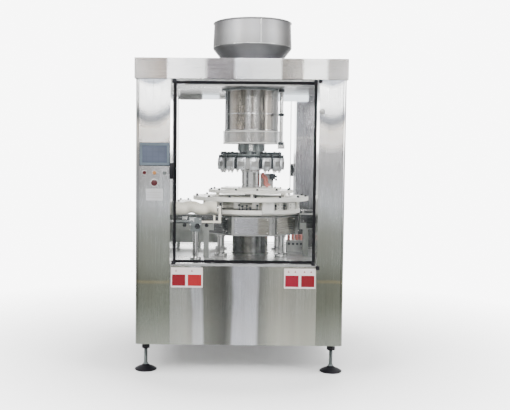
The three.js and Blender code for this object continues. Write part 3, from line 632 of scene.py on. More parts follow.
def dress_cad_nodes():
    for look, names in CAD_LOOKS.items():
        for name in names:
            node = NODES[name]
            node.data.materials.clear()
            node.data.materials.append(LOOKS[look])
            node.modifiers.new("weld", "WELD").merge_threshold = 0.00002
            smooth_edges(node, CRISP)
            if look != "window" and name not in LEFT_SQUARE:
                round_edges(node, SHEET_ROUND if look in SHEET_LOOKS else MOULDED_ROUND, CRISP)
            flatten = node.modifiers.new("flat_faces", "WEIGHTED_NORMAL")
            flatten.weight = 100
            flatten.keep_sharp = True


# ---- Hopper and roof ------------------------------------------------------------------------------------
RIM, SHOULDER, MOUTH, HOPPER_SHEET = 0.279, 2.174, 0.272, 0.003
THROAT, NECK, NECK_TOP, BEAD = 0.150, 0.169, 2.030, 0.0045


def make_hopper():
    low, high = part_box("hopper")
    bead = [
        (MOUTH + 0.002 + BEAD * math.cos(a), high.z - BEAD + BEAD * math.sin(a))
        for a in map(math.radians, range(-80, 181, 26))
    ]
    cone = SHOULDER - 0.006 - NECK_TOP
    profile = [(THROAT, low.z), (THROAT, 2.021), (NECK, 2.021), (NECK, 2.026), (NECK + 0.002, NECK_TOP)]
    profile += [(NECK + (RIM - NECK) * t, NECK_TOP + cone * t) for t in (0.25, 0.5, 0.75, 0.96)]
    profile += [(RIM - 0.0008, SHOULDER - 0.003), (RIM, SHOULDER + 0.004), (MOUTH, high.z - 0.012), *bead]
    profile += [(MOUTH - HOPPER_SHEET, high.z - 0.01), (RIM - HOPPER_SHEET, SHOULDER + 0.004)]
    profile += [(THROAT - HOPPER_SHEET + r, z) for r, z in ((0.002, 2.032), (0, 2.026), (0, low.z))]
    shell = Kit("hopper_shell", "cabinet", "rolled").lathe(profile, sides=144)
    shell.done(smooth=28, replaces=["hopper"], slot="polished_stainless")

    seam = Kit("hopper_weld_seams", "cabinet", "bolt")
    for angle in (0.18, 3.3):
        edge = ((RIM, SHOULDER + 0.004), (MOUTH, high.z - 0.012))
        ends = [on_circle(r + 0.0004, angle, z) for r, z in edge]
        seam.tube([ends[0].lerp(ends[1], i / 8) for i in range(9)], 0.0016, sides=8)
    seam.tube([on_circle(RIM + 0.0002, TURN * i / 96, SHOULDER) for i in range(97)], 0.0013, sides=6)
    seam.done(smooth=60)

    collar = [(0.171, 2.0205), (0.205, 2.0205), (0.205, 2.0245), (0.2025, 2.0265), (0.174, 2.0265)]
    collar.append((0.171, 2.0245))
    Kit("hopper_collar", "cabinet", "polished").lathe(collar).done()
    bolts = Kit("hopper_collar_bolts", "cabinet", "bolt")
    for angle in stations(12, 0.1):
        bolts.hex_bolt(on_circle(0.189, angle, 2.0265), 0.006)
    bolts.done()


def make_roof():
    low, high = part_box("top_cover")
    lip = Kit("cap_lower_lip", "cabinet", "cap")
    inset, drop, deep = 0.004, 0.002, 0.02
    for y0, y1 in ((low.y + inset, low.y + deep), (high.y - deep, high.y - inset)):
        lip.box((low.x + inset, y0, low.z - drop), (high.x - inset, y1, low.z - 0.0003))
    lip.done(bevel=0.0006)
    screws = Kit("cap_screws", "cabinet", "bolt")
    for x in (-0.62, -0.31, 0.0, 0.31, 0.62):
        for y in (low.y + 0.03, high.y - 0.03):
            screws.socket_screw((x, y, high.z), UP, 0.005)
    for y in (-0.6, 0.0, 0.6):
        for side, x in ((-1, low.x), (1, high.x)):
            screws.socket_screw((x, y, low.z + 0.02), (side, 0, 0), 0.0045)
    screws.done()
    lamp = Kit("ceiling_lamp", "cabinet", "plate")
    for y in (-0.56, 0.56):
        lamp.box((-0.36, y - 0.018, CEILING - 0.022), (0.40, y + 0.018, CEILING - 0.0004))
    lamp.done(bevel=0.004)


# ---- Cabinet faces --------------------------------------------------------------------------------------
LABELS = [  # left edge, right edge and look of each red square on the lower panel
    (-0.431, -0.346, "crimson"), (-0.330, -0.242, "coral"),
    (0.294, 0.380, "rose_red"), (0.396, 0.481, "crimson"),
]
LABEL_PLATES = [(-0.438, -0.234), (0.287, 0.488)]
LABEL_Z, PLATE_Z = (0.572, 0.645), (0.561, 0.690)
LABEL_MARKS = [(0.0055, 0.6640, 0.6690), (0.0022, 0.6700, 0.6755)]  # half width, bottom and top
RIVET_INSET = 0.005


def make_labels():
    plates = Kit("label_plates", "cabinet", "sign")
    rivets = Kit("label_plate_rivets", "cabinet", "bolt")
    for x0, x1 in LABEL_PLATES:
        plates.box((x0, FRONT - 0.0018, PLATE_Z[0]), (x1, FRONT - 0.0002, PLATE_Z[1]))
        for x in (x0 + RIVET_INSET, x1 - RIVET_INSET):
            for z in (PLATE_Z[0] + RIVET_INSET, PLATE_Z[1] - RIVET_INSET):
                rivets.rod((x, FRONT - 0.0018, z), (x, FRONT - 0.003, z), 0.0022, sides=12, tip=0.0014)
    plates.done(bevel=0.0005)
    rivets.done()
    for look in ("crimson", "coral", "rose_red"):
        squares = Kit(f"label_squares_{look}", "cabinet", look)
        for x0, x1, own in LABELS:
            if own == look:
                squares.box((x0, FRONT - 0.0026, LABEL_Z[0]), (x1, FRONT - 0.0017, LABEL_Z[1]))
        squares.done(bevel=0.0003)
    marks = Kit("label_marks", "cabinet", "crimson")
    for x0, x1, _ in LABELS:
        for part in ((0.30,) if x0 < 0 else (0.25, 0.75)):
            x = x0 + (x1 - x0) * part
            for half, z0, z1 in LABEL_MARKS:
                marks.box((x - half, FRONT - 0.0024, z0), (x + half, FRONT - 0.0016, z1))
    marks.done()


SIDES = [(-1, -0.667), (1, 0.667)]
LOCK_Z = (0.25, 0.64)
LOUVRES = [0.34 + 0.022 * i for i in range(10)]


def make_panel_hardware():
    """Quarter-turn locks and vents on the lower panels, and a lock on the front right pillar."""
    locks = Kit("panel_locks", "cabinet", "bolt")
    slots = Kit("panel_lock_slots", "cabinet", "dark_metal")
    pillar_lock = Kit("pillar_lock", "cabinet", "housing")
    section = [(0.0004, 0.0002), (0.019, 0.0002), (0.019, 0.003), (0.016, 0.0042), (0.0004, 0.0046)]
    pillar_lock.wall_ring(0.512, 1.690, section).done(smooth=30)
    places = [((x, BACK, z), (0, 1, 0)) for x in (-0.46, 0.41) for z in LOCK_Z]
    for side, x in SIDES:
        places += [((x, y, z), (side, 0, 0)) for y in (-0.39, 0.39) for z in LOCK_Z]
    for at, out in places:
        at, out = Vector(at), Vector(out)
        locks.rod(at, at + out * 0.004, 0.011, sides=24, chamfer=0.0012)
        across = out.cross(Vector(UP)) * 0.007
        ends = list(zip(at + out * 0.0036 - across, at + out * 0.0046 + across))
        low, high = [min(pair) for pair in ends], [max(pair) for pair in ends]
        slots.box((*low[:2], low[2] - 0.0012), (*high[:2], high[2] + 0.0012))
    locks.done()
    slots.done()
    vents = Kit("vent_louvres", "cabinet", "panel")
    bars = [((x - side * 0.004, -0.14), (x - side * 0.004, 0.14)) for side, x in SIDES]
    for start, end in [*bars, ((-0.2, BACK - 0.004), (0.24, BACK - 0.004))]:
        for z in LOUVRES:
            vents.rod((*start, z), (*end, z), 0.008, sides=12, chamfer=0.003)
    vents.done()


def inset(low, high, axis, by):
    """The lower and upper corners of a box's face, brought in by a margin."""
    return (getattr(low, axis) + by, low.z + by), (getattr(high, axis) - by, high.z - by)


def make_window_trim():
    seal = Kit("side_window_seals", "cabinet", "silicone")
    for name in ("side_window_left", "side_window_right"):
        low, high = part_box(name)
        inner = high.x + 0.0004 if name.endswith("left") else low.x - 0.0064
        seal.frame("x", inner, *inset(low, high, "y", 0.001), 0.016, 0.006)
    seal.done(bevel=0.001)
    low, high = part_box("rear_door_glass")
    rear = Kit("rear_door_seal", "rear_door", "tube")
    rear.frame("y", low.y - 0.0084, *inset(low, high, "x", 0.012), 0.009, 0.008).done(bevel=0.001)


# ---- Doors ----------------------------------------------------------------------------------------------
CATCH_INSET, CATCH_HALF = 0.013, 0.0125


def make_doors():
    """Each door's edging, corner blocks and pull. The hinge is at the edge away from the free one."""
    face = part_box("front_door_glass")[0].y
    trim = Kit("front_door_edging", "front_door", "rubber")
    trim.frame("y", face - 0.0028, *inset(*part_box("front_door_seal"), "x", 0), 0.017, 0.0025)
    trim.done(bevel=0.0008)
    for name, body, out in (("front", "front_door", -1), ("rear", "rear_door", 1)):
        low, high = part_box(f"{name}_door_glass")
        face, free = (low.y, low.x) if out < 0 else (high.y, high.x)
        width = high.x - low.x
        blocks = Kit(f"{name}_door_catches", body, "black")
        screws = Kit(f"{name}_door_catch_screws", body, "dark_metal")
        near, far = sorted((face + out * 0.0003, face + out * 0.013))
        for z in (low.z + CATCH_INSET, high.z - CATCH_INSET):
            for x0, x1 in ((0.001, 0.028), (width - 0.034, width - 0.012)):
                x0, x1 = sorted((free - out * x0, free - out * x1))
                blocks.box((x0, near, z - CATCH_HALF), (x1, far, z + CATCH_HALF))
            for x in (free - out * 0.0145, free - out * (width - 0.023)):
                screws.socket_screw((x, face + out * 0.0128, z), (0, out, 0), 0.0032)
        blocks.done(bevel=0.003)
        screws.done()
        make_handle(name, body, out)


def make_handle(name, body, out):
    """A bowed black pull with two feet."""
    low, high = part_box(f"{name}_door_handle")
    near, far = (low.y, high.y) if out > 0 else (high.y, low.y)
    centre = (low.x + high.x) / 2
    leg = low.x + 0.020 if out < 0 else high.x - 0.020
    steps, thick = 14, out * 0.008
    rings = []
    for i in range(steps + 1):
        t = i / steps
        bow = math.sin(math.pi * t) ** 0.5
        depth = near + (far - near) * (0.62 + 0.38 * bow)
        half = 0.0138 * (0.80 + 0.20 * bow)
        z = low.z + (high.z - low.z) * t
        oval = [(half * math.cos(a), thick * math.sin(a) - thick) for a in angles(20)]
        rings.append([(centre + across, depth + out_by, z) for across, out_by in oval])
    grip = Kit(f"{name}_door_pull", body, "black").add_rings(rings)
    for z in (low.z + 0.016, high.z - 0.016):
        start, end = near + out * 0.0001, near + (far - near) * 0.66
        grip.rod((leg, start, z), (leg, end, z), 0.0078, chamfer=0.001)
    grip.done(smooth=50, replaces=[f"{name}_door_handle"], slot="black_polymer")


# ---- Controls -------------------------------------------------------------------------------------------
COLLAR = [(0.0128, 0.0002), (0.0158, 0.0002), (0.0158, 0.0022), (0.0146, 0.0046), (0.0128, 0.0046)]
STOP_COLLAR = [(0.0105, 0.0002), (0.0265, 0.0002), (0.0265, 0.0014), (0.0105, 0.0018)]
MUSHROOM = [  # radius and how far out of the front face, from the stem's inner end to the crown
    (0.0, -0.03), (0.009, -0.03), (0.009, 0.018), (0.0125, 0.020), (0.019, 0.0205), (0.02, 0.0225),
    (0.02, 0.028), (0.0187, 0.0312), (0.0155, 0.033), (0.008, 0.0339), (0.0, 0.034),
]
SCREEN_INSET = 0.017


def make_controls():
    low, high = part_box("hmi_panel")
    face = low.y
    (x0, z0), (x1, z1) = inset(low, high, "x", SCREEN_INSET)
    Kit("screen_picture", "cabinet", "screen").box((x0, face - 0.0006, z0), (x1, face - 0.0001, z1)).done()
    rim = Kit("screen_rim", "cabinet", "bezel")
    rim.frame("y", face - 0.003, *inset(low, high, "x", 0.002), 0.013, 0.0028).done(bevel=0.0012)
    gasket = Kit("screen_gasket", "cabinet", "rubber")
    gasket.frame("y", FRONT - 0.0012, *inset(low, high, "x", -0.003), 0.0028, 0.001).done()
    collars = Kit("button_collars", "cabinet", "bolt")
    for name in ("stop_button", "start_button", "mode_selector"):
        x, _, z = middle(name)
        collars.wall_ring(x, z, COLLAR)
    collars.done(smooth=30)
    x, _, z = middle("emergency_stop")
    Kit("emergency_collar", "cabinet", "bolt").wall_ring(x, z, STOP_COLLAR).done(smooth=30)
    rings = [circle(r, 40, lambda u, v: (x + u, FRONT - out, z + v)) for r, out in MUSHROOM]
    mushroom = Kit("emergency_mushroom", "emergency_key", "red").add_rings(rings)
    mushroom.done(smooth=40, replaces=["emergency_stop"], slot="red_plastic")
    plate = Kit("blank_label_plate", "cabinet", "film")
    plate.box((-0.600, FRONT - 0.0016, 1.117), (-0.492, FRONT - 0.0002, 1.193)).done(bevel=0.0005)
    lines = Kit("blank_label_lines", "cabinet", "housing")
    for i in range(3):
        z, right = 1.136 + 0.0165 * i, -0.500 - 0.018 * (i % 2)
        lines.box((-0.592, FRONT - 0.0021, z - 0.0016), (right, FRONT - 0.0015, z + 0.0016))
    lines.done()


# ---- Drum -----------------------------------------------------------------------------------------------
DRUM_WALL, DRUM_BORE = 0.004, 0.048
DRUM_SEAMS = [  # angle, half width
    (-1.31, 0.0042), (-1.02, 0.0022), (-0.28, 0.0012), (0.42, 0.0012), (2.4, 0.002),
]


def make_drum():
    low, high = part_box("drum_housing")
    r, z0, z1 = (high.x - low.x) / 2, low.z, high.z
    stand_in("drum_shell", "drum_housing", "cabinet", "drum", [
        (DRUM_BORE, z0), (r - 0.002, z0), (r, z0 + 0.002), (r, z1), (r - DRUM_WALL, z1),
        (r - DRUM_WALL, z0 + 0.008), (DRUM_BORE, z0 + 0.008),
    ], "polished_stainless")
    bands = Kit("drum_bands", "cabinet", "polished")
    for z, height in ((z1 - 0.016, 0.014), (z0 + 0.205, 0.006), (z0 + 0.094, 0.006)):
        outer = [(r + 0.003, z + 0.0008), (r + 0.003, z + height - 0.0008)]
        bands.lathe([(r + 0.0002, z), *outer, (r + 0.0002, z + height)])
    bands.done()
    top, edge = z1 - 0.0005, 0.216
    flange = [(r + 0.0035, z1 - 0.0125), (0.2145, z1 - 0.0125), (edge, z1 - 0.011)]
    flange += [(edge, top), (r + 0.0035, top)]
    Kit("drum_top_flange", "cabinet", "gunmetal").lathe(flange).done(smooth=30)
    seams = Kit("drum_seams", "cabinet", "dark_metal")
    for angle, half in DRUM_SEAMS:
        seams.block(on_circle(r + 0.0008, angle), half, 0.0016, z0 + 0.012, z1 - 0.02, angle)
    seams.done()
    low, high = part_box("drum_guard_ring")
    g, wall = (high.x - low.x) / 2, 0.004
    stand_in("drum_guard", "drum_guard_ring", "cabinet", "milky", [
        (g - wall, low.z), (g, low.z), (g, high.z - 0.003), (g - 0.003, high.z), (r + 0.0006, high.z),
        (r + 0.0006, high.z - 0.005), (g - wall, high.z - 0.006),
    ], "clear_polycarbonate")
    # white bands at the guard's top and bottom edges: painted highlights along its rims
    rim = Kit("drum_guard_rim_highlights", "cabinet", "plate")
    for z in (low.z + 0.0002, high.z - 0.008):
        rim.lathe(band(g + 0.0002, g + 0.002, z, z + 0.007))
    rim.done()


# ---- Turret ---------------------------------------------------------------------------------------------
SHAFT_RADIUS, NECK_RADIUS, HUB_RADIUS, RING_RADIUS = 0.040, 0.0645, 0.089, 0.236
NECK_BOTTOM, NECK_END, HUB_BOTTOM, HUB_TOP = 1.178, 1.314, 1.466, 1.494
SKIRT = [
    (0.0888, 1.4450), (0.0945, 1.4450), (0.0945, HUB_TOP),
    (0.0894, HUB_TOP), (0.0894, 1.4660), (0.0888, 1.4660),
]
NOZZLE = [(0.0068, 1.3148), (0.0135, 1.3148), (0.0135, 1.310), (0.0105, 1.303), (0.0068, 1.303)]
PLUNGER_CIRCLE, CROWN_PLATE, CROWN_TOP = 0.208, 0.217, 1.422


def make_shaft():
    low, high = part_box("main_shaft")
    shaft, neck, hub = SHAFT_RADIUS, NECK_RADIUS, HUB_RADIUS
    profile = [(0, low.z), (shaft - 0.002, low.z), (shaft, low.z + 0.002), (shaft, NECK_BOTTOM)]
    profile += [(neck - 0.002, NECK_BOTTOM), (neck, 1.180), (neck, 1.205), (neck - 0.0025, 1.207)]
    profile += [(neck - 0.0025, 1.210), (neck, 1.212), (neck, 1.300), (neck - 0.003, 1.304), (neck, 1.308)]
    profile += [(neck, NECK_END), (shaft, NECK_END), (shaft, HUB_BOTTOM), (hub - 0.002, HUB_BOTTOM)]
    profile += [(hub, 1.468), (hub, 1.478), (hub - 0.006, 1.480), (hub - 0.006, HUB_TOP), (shaft, HUB_TOP)]
    profile += [(shaft, high.z - 0.002), (shaft - 0.002, high.z), (0, high.z)]
    stand_in("turret_shaft", "main_shaft", "turret", "polished", profile, "polished_stainless")
    bars = Kit("neck_clamp_bars", "turret", "housing")
    for angle in (0.35, 0.35 + math.pi):
        bars.block(on_circle(neck + 0.004, angle), 0.010, 0.004, 1.182, 1.298, angle)
    bars.done(bevel=0.001)
    Kit("hub_skirt", "turret", "gunmetal").lathe(SKIRT).done(smooth=30)
    key = Kit("hub_key_strip", "turret", "bolt")
    for angle in (-0.05, 1.6, 3.1, 4.7):
        key.block(on_circle(0.0957, angle), 0.013, 0.0014, 1.4465, 1.4925, angle)
    key.done(bevel=0.0006)
    rib = Kit("ring_cover_rib", "turret", "dark_metal")
    rib.lathe(band(0.212, 0.221, 1.3972, 1.4110), sides=128).done(smooth=30)


def make_stations():
    """Screws, face plates and nozzles of the sixteen blocks, and the carriers and knobs in the gaps."""
    screws = Kit("station_block_screws", "turret", "bolt")
    carriers = Kit("station_carriers", "turret", "dark_metal")
    nozzles = Kit("station_nozzles", "turret", "polished")
    faces = Kit("station_faces", "turret", "housing")
    low, high = (corner.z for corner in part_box("station_ring"))
    for angle in stations():
        out, side = outward(angle)
        for z in (low + 0.014, high - 0.014):
            screws.socket_screw(on_circle(RING_RADIUS - 0.0002, angle, z) + side * 0.018, out, 0.0045)
        faces.block(on_circle(RING_RADIUS + 0.0016, angle), 0.024, 0.0014, low + 0.022, high - 0.024, angle)
        nozzles.lathe(NOZZLE, on_circle(PLUNGER_CIRCLE, angle), sides=24)
    *gaps, wide = stations(STATIONS, FIRST_STATION + math.pi / STATIONS)
    faces.block(on_circle(0.2215, wide), 0.0158, 0.0155, low + 0.004, high - 0.004, wide)
    for angle in gaps:
        carriers.block(on_circle(0.2235, angle), 0.0125, 0.004, low + 0.008, high - 0.008, angle)
        at = on_circle(0.2275, angle)
        carriers.post(at, high - 0.009, high + 0.022, 0.0068, sides=16, chamfer=0.0015)
    screws.done()
    faces.done(bevel=0.0008)
    nozzles.done()
    carriers.done(bevel=0.0008)


def make_plungers():
    low, high = (corner.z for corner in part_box("plunger_crown"))
    bore, boss, plate = 0.041, 0.088, CROWN_PLATE
    profile = [(bore, 1.402), (boss - 0.001, 1.402), (boss, 1.403), (boss, 1.412), (plate - 0.001, 1.412)]
    profile += [(plate, 1.413), (plate, 1.421), (plate - 0.001, CROWN_TOP), (boss, CROWN_TOP)]
    profile += [(boss, 1.443), (boss - 0.001, 1.444), (bore, 1.444)]
    stand_in("plunger_crown_plate", "plunger_crown", "plungers", "gunmetal", profile, "machined_aluminium")
    stems = Kit("plunger_stems", "plungers", "polished")
    nuts = Kit("plunger_nuts", "plungers", "dark_metal")
    for angle in stations():
        at = on_circle(PLUNGER_CIRCLE, angle)
        stems.post(at, low, high - 0.001, 0.006, sides=24, chamfer=0.001)
        nuts.post(at, CROWN_TOP, high - 0.006, 0.0125, sides=6, chamfer=0.001)
        nuts.block(on_circle(0.176, angle), 0.014, 0.016, CROWN_TOP + 0.0001, 1.4375, angle)
    for angle in stations(8, 0.2):
        nuts.socket_screw(on_circle(0.130, angle, CROWN_TOP), UP, 0.007)
    stems.done()
    nuts.done()


# ---- Table ----------------------------------------------------------------------------------------------
TOP_Z, MAIN_Z, LOWER_Z = (1.150, 1.172), (1.098, 1.126), (1.012, 1.040)
TOP_RADIUS, MAIN_RADIUS, LOWER_RADIUS = 0.303, 0.413, 0.355
STEP_TOP, STAR_Z = 1.186, (1.0500, 1.0900)
DISC_BORE, POST_OVERLAP = 0.0725, 0.001
KNOB = [(0, 0), (0.0085, 0), (0.0085, 0.004), (0.007, 0.010), (0.004, 0.0125), (0, 0.013)]
# how many, the radius of their circle, their height and the first angle
DISC_KNOBS = [(12, 0.284, TOP_Z[1], 0.13), (14, 0.394, MAIN_Z[1], 0.05)]
DISC_SCREWS = [(8, 0.190, STEP_TOP, 0.3), (10, 0.335, MAIN_Z[1], 0.2)]
GUIDE_BLOCKS = [(53, 0.078), (33, 0.046), (72, 0.050), (-62, 0.06)]  # degrees from the front, width
FRONT_KNOBS = [  # degrees from the front, height
    (-15, 1.075), (-11, 1.066), (-6, 1.070), (-2, 1.058), (6, 1.073), (29, 1.072), (36, 1.060), (42, 1.070),
]


def make_disc(level, profile, posts=(), circle_radius=0.0, bottom=0.0, radius=0.0, sides=160):
    """A white sheet disc and the posts under it."""
    disc = Kit(f"guide_disc_{level}_sheet", "cabinet", "white").lathe(profile, sides=sides)
    for angle in posts:
        disc.post(on_circle(circle_radius, angle), bottom, profile[0][1] + POST_OVERLAP, radius, sides=24)
    disc.done(smooth=30, replaces=[f"guide_disc_{level}"], slot="white_polyethylene")


def eased(radius, z0, z1, by=0.0025):
    """The outer edge of a disc with both its corners taken off."""
    return [(radius - by, z0), (radius, z0 + by), (radius, z1 - by), (radius - by, z1)]


def make_discs():
    step = [(0.215, TOP_Z[1]), (0.215, 1.184), (0.213, STEP_TOP), (DISC_BORE, STEP_TOP)]
    profile = [(DISC_BORE, TOP_Z[0]), *eased(TOP_RADIUS, *TOP_Z), *step]
    make_disc("top", profile, stations(6, 0.0), 0.273, 1.1263, 0.010)
    profile = [(DISC_BORE, MAIN_Z[0]), *eased(MAIN_RADIUS, *MAIN_Z), (DISC_BORE, MAIN_Z[1])]
    posts = map(math.radians, (15, 125, 165, 205, 245, 285))
    make_disc("main", profile, posts, 0.344, 1.0403, 0.007, sides=192)
    boss = [(0.048, 1.0003), (0.318, 1.0003), (0.318, LOWER_Z[0])]
    make_disc("lower", [*boss, *eased(LOWER_RADIUS, *LOWER_Z), (0.048, LOWER_Z[1])])

    knobs = Kit("disc_knobs", "cabinet", "black")
    for count, radius, z, first in DISC_KNOBS:
        for angle in stations(count, first):
            knobs.lathe([(r, z + rise) for r, rise in KNOB], on_circle(radius, angle), sides=20)
    knobs.done()
    screws = Kit("disc_screws", "cabinet", "bolt")
    for count, radius, z, first in DISC_SCREWS:
        for angle in stations(count, first):
            screws.socket_screw(on_circle(radius, angle, z), UP, 0.0055)
    screws.done()


def make_table_details():
    guide = Kit("star_guide_blocks", "cabinet", "white")
    bolts = Kit("star_guide_bolts", "cabinet", "bolt")
    for degrees, width in GUIDE_BLOCKS:
        angle = math.radians(degrees)
        out, side = outward(angle)
        guide.block(on_circle(0.3455, angle), width / 2, 0.0068, 1.0404, STAR_Z[1], angle)
        for shift in (-width * 0.28, width * 0.28):
            for z in (1.055, 1.076):
                bolts.socket_screw(on_circle(0.3521, angle, z) + side * shift, out, 0.0048)
    guide.done(bevel=0.0015)
    bolts.done()
    angle = math.radians(17)
    stop = Kit("front_stop_block", "cabinet", "plate")
    stop.block(on_circle(0.369, angle), 0.041, 0.012, 1.020, 1.096, angle).done(bevel=0.003)
    knobs = Kit("front_guide_knobs", "cabinet", "dark_metal")
    for degrees, z in FRONT_KNOBS:
        angle = math.radians(degrees)
        start = on_circle(0.3325, angle, z)
        knobs.rod(start, start + outward(angle)[0] * 0.014, 0.0075, sides=16, chamfer=0.0015)
        knobs.post(on_circle(0.3335, angle), 1.0402, z, 0.003, sides=12)
    knobs.done()

    liners = Kit("star_pocket_liners", "turret", "plate")
    for angle in stations():
        centre, inward = on_circle(0.330, angle), -outward(angle)[0]
        arc = [Matrix.Rotation(math.radians(-78 + 13 * i), 3, "Z") @ inward for i in range(13)]
        rings = []
        for z in STAR_Z:
            middle_point = centre + Vector((0, 0, z))
            outer, inner = ([middle_point + turn * r for turn in arc] for r in (0.0238, 0.0224))
            rings.append(outer + inner[::-1])
        liners.add_rings(rings)
    liners.done(smooth=40)
    hub = Kit("star_hub_screws", "turret", "bolt")
    for angle in stations(8, 0.1):
        hub.socket_screw(on_circle(0.285, angle, STAR_Z[1]), UP, 0.005)
    hub.done()


# ---- Drive housing and its supports ---------------------------------------------------------------------
HOUSING_APOTHEM, HOUSING_Z = 0.330, (0.864, 1.000)
COLUMN_RADIUS, COLUMN_BORE = 0.1335, 0.046
POST, FLANGE, POST_CAP, FLANGE_BOLTS = 0.025, 0.045, 0.032, 0.036


def make_housing():
    z0, z1 = HOUSING_Z
    covers = Kit("housing_covers", "cabinet", "housing_plate")
    screws = Kit("housing_cover_screws", "cabinet", "bolt")
    gasket = Kit("housing_gasket", "cabinet", "rubber")
    edge = HOUSING_APOTHEM * math.tan(math.pi / 8)
    for k, angle in enumerate(angles(8)):
        out, side = outward(angle)
        half = 0.100 if k % 2 else 0.118
        covers.block(on_circle(HOUSING_APOTHEM + 0.0021, angle), half, 0.002, z0 + 0.010, z1 - 0.012, angle)
        for shift in (-half + 0.012, half - 0.012):
            for z in (z0 + 0.022, z1 - 0.024):
                at = on_circle(HOUSING_APOTHEM + 0.004, angle, z) + side * shift
                screws.socket_screw(at, out, 0.0048)
        at = on_circle(HOUSING_APOTHEM + 0.0007, angle)
        gasket.block(at, edge, 0.0006, z1 - 0.0062, z1 - 0.0004, angle)
    covers.done(bevel=0.001)
    screws.done()
    gasket.done()
    low, high = (corner.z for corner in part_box("main_column"))
    r = COLUMN_RADIUS
    stand_in("main_column_tube", "main_column", "cabinet", "column", [
        (COLUMN_BORE, low), (r, low), (r, low + 0.012), (r - 0.006, low + 0.014), (r - 0.006, high - 0.012),
        (r, high - 0.010), (r, high), (COLUMN_BORE, high),
    ], "brushed_stainless")
    for corner in CORNERS:
        x, y, _ = middle(f"support_post_{corner}")
        low, high = (end.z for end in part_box(f"support_post_{corner}"))
        stand_in(f"turned_post_{corner}", f"support_post_{corner}", "cabinet", "polished", [
            (0, low), (FLANGE - 0.002, low), (FLANGE, low + 0.002), (FLANGE, low + 0.018),
            (FLANGE - 0.003, low + 0.020), (POST + 0.004, low + 0.021), (POST, low + 0.026),
            (POST, high - 0.018), (POST + 0.003, high - 0.014), (POST_CAP, high - 0.013),
            (POST_CAP, high), (0, high),
        ], "polished_stainless", at=(x, y), sides=48)
        bolts = Kit(f"post_flange_bolts_{corner}", "cabinet", "bolt")
        for i in range(4):
            a = TURN * (i + 0.5) / 4
            at = (x + FLANGE_BOLTS * math.cos(a), y + FLANGE_BOLTS * math.sin(a), low + 0.0199)
            bolts.hex_bolt(at, 0.0042)
        bolts.done()


# ---- Infeed and outfeed ---------------------------------------------------------------------------------
SCREW_Y, SCREW_Z, SCREW_ENDS = -0.380, 1.057, (-0.424, -0.150)
SCREW_RADIUS, GROOVE, PITCH, SPINDLE = 0.0465, 0.017, 0.137, 0.009
BELT_TOP, RAIL_Z, RAIL_Y = 1.008, 1.036, -0.2685
# the ends along X and the sides along Y
CONVEYORS = [(-0.648, -0.174, -0.352, -0.272), (0.426, 0.648, -0.215, -0.135)]
GUIDE_KNOB = [(0, 1.090), (0.009, 1.090), (0.009, 1.094), (0.006, 1.101), (0, 1.102)]
CLAMP_PLATES = [
    ((-0.384, -0.3562, 0.968), (-0.350, -0.3544, 0.996)),
    ((-0.330, -0.4562, 0.968), (-0.300, -0.4542, 0.990)),
    ((-0.548, -0.3562, 0.930), (-0.508, -0.3544, 0.990)),
]
CLAMP_SCREWS = [  # place, direction and size
    *(((x, -0.4541, z), TO_FRONT, 0.0052) for x in (-0.325, -0.260) for z in (0.950, 0.986)),
    *(((-0.3221, -0.395, z), (-1, 0, 0), 0.0048) for z in (0.912, 0.930)),
]
BEARING_SCREWS = [((-0.1181, -0.4135, z), (1, 0, 0), 0.0042) for z in (1.001, 1.066)]
INFEED_KNOBS = [(-0.367, 0.940), (-0.528, 0.915), (-0.218, 0.940)]


def make_screw():
    """The timing screw, whose groove deepens towards the table, on its spindle."""
    y, z, (left, right) = SCREW_Y, SCREW_Z, SCREW_ENDS
    sides, steps = 72, 130
    rings = [[(left, y, z)]]
    for k in range(steps + 1):
        along = (right - left) * k / steps
        ring = []
        for a in angles(sides):
            turn = math.atan2(math.sin(a), -math.cos(a)) + TURN * along / PITCH
            dip = GROOVE * min(1.0, 0.35 + along / (right - left)) * (0.5 - 0.5 * math.cos(turn)) ** 1.6
            r = SCREW_RADIUS - dip
            ring.append((left + along, y + r * math.cos(a), z + r * math.sin(a)))
        rings.append(ring)
    rings.append([(right, y, z)])
    scroll = Kit("timing_scroll", "infeed_screw", "cream").add_rings(rings)
    scroll.done(smooth=60, replaces=["timing_screw"], slot="cream_polymer")
    low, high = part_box("timing_screw")
    spindle = Kit("timing_spindle", "infeed_screw", "polished")
    spans = [(low.x, left + 0.002, SPINDLE), (right - 0.002, high.x, SPINDLE)]
    spans += [(x, x + 0.007, 0.019) for x in (left - 0.0075, right + 0.0005)]
    for x0, x1, radius in spans:
        spindle.rod((x0, y, z), (x1, y, z), radius, sides=32, chamfer=0.001)
    spindle.done()


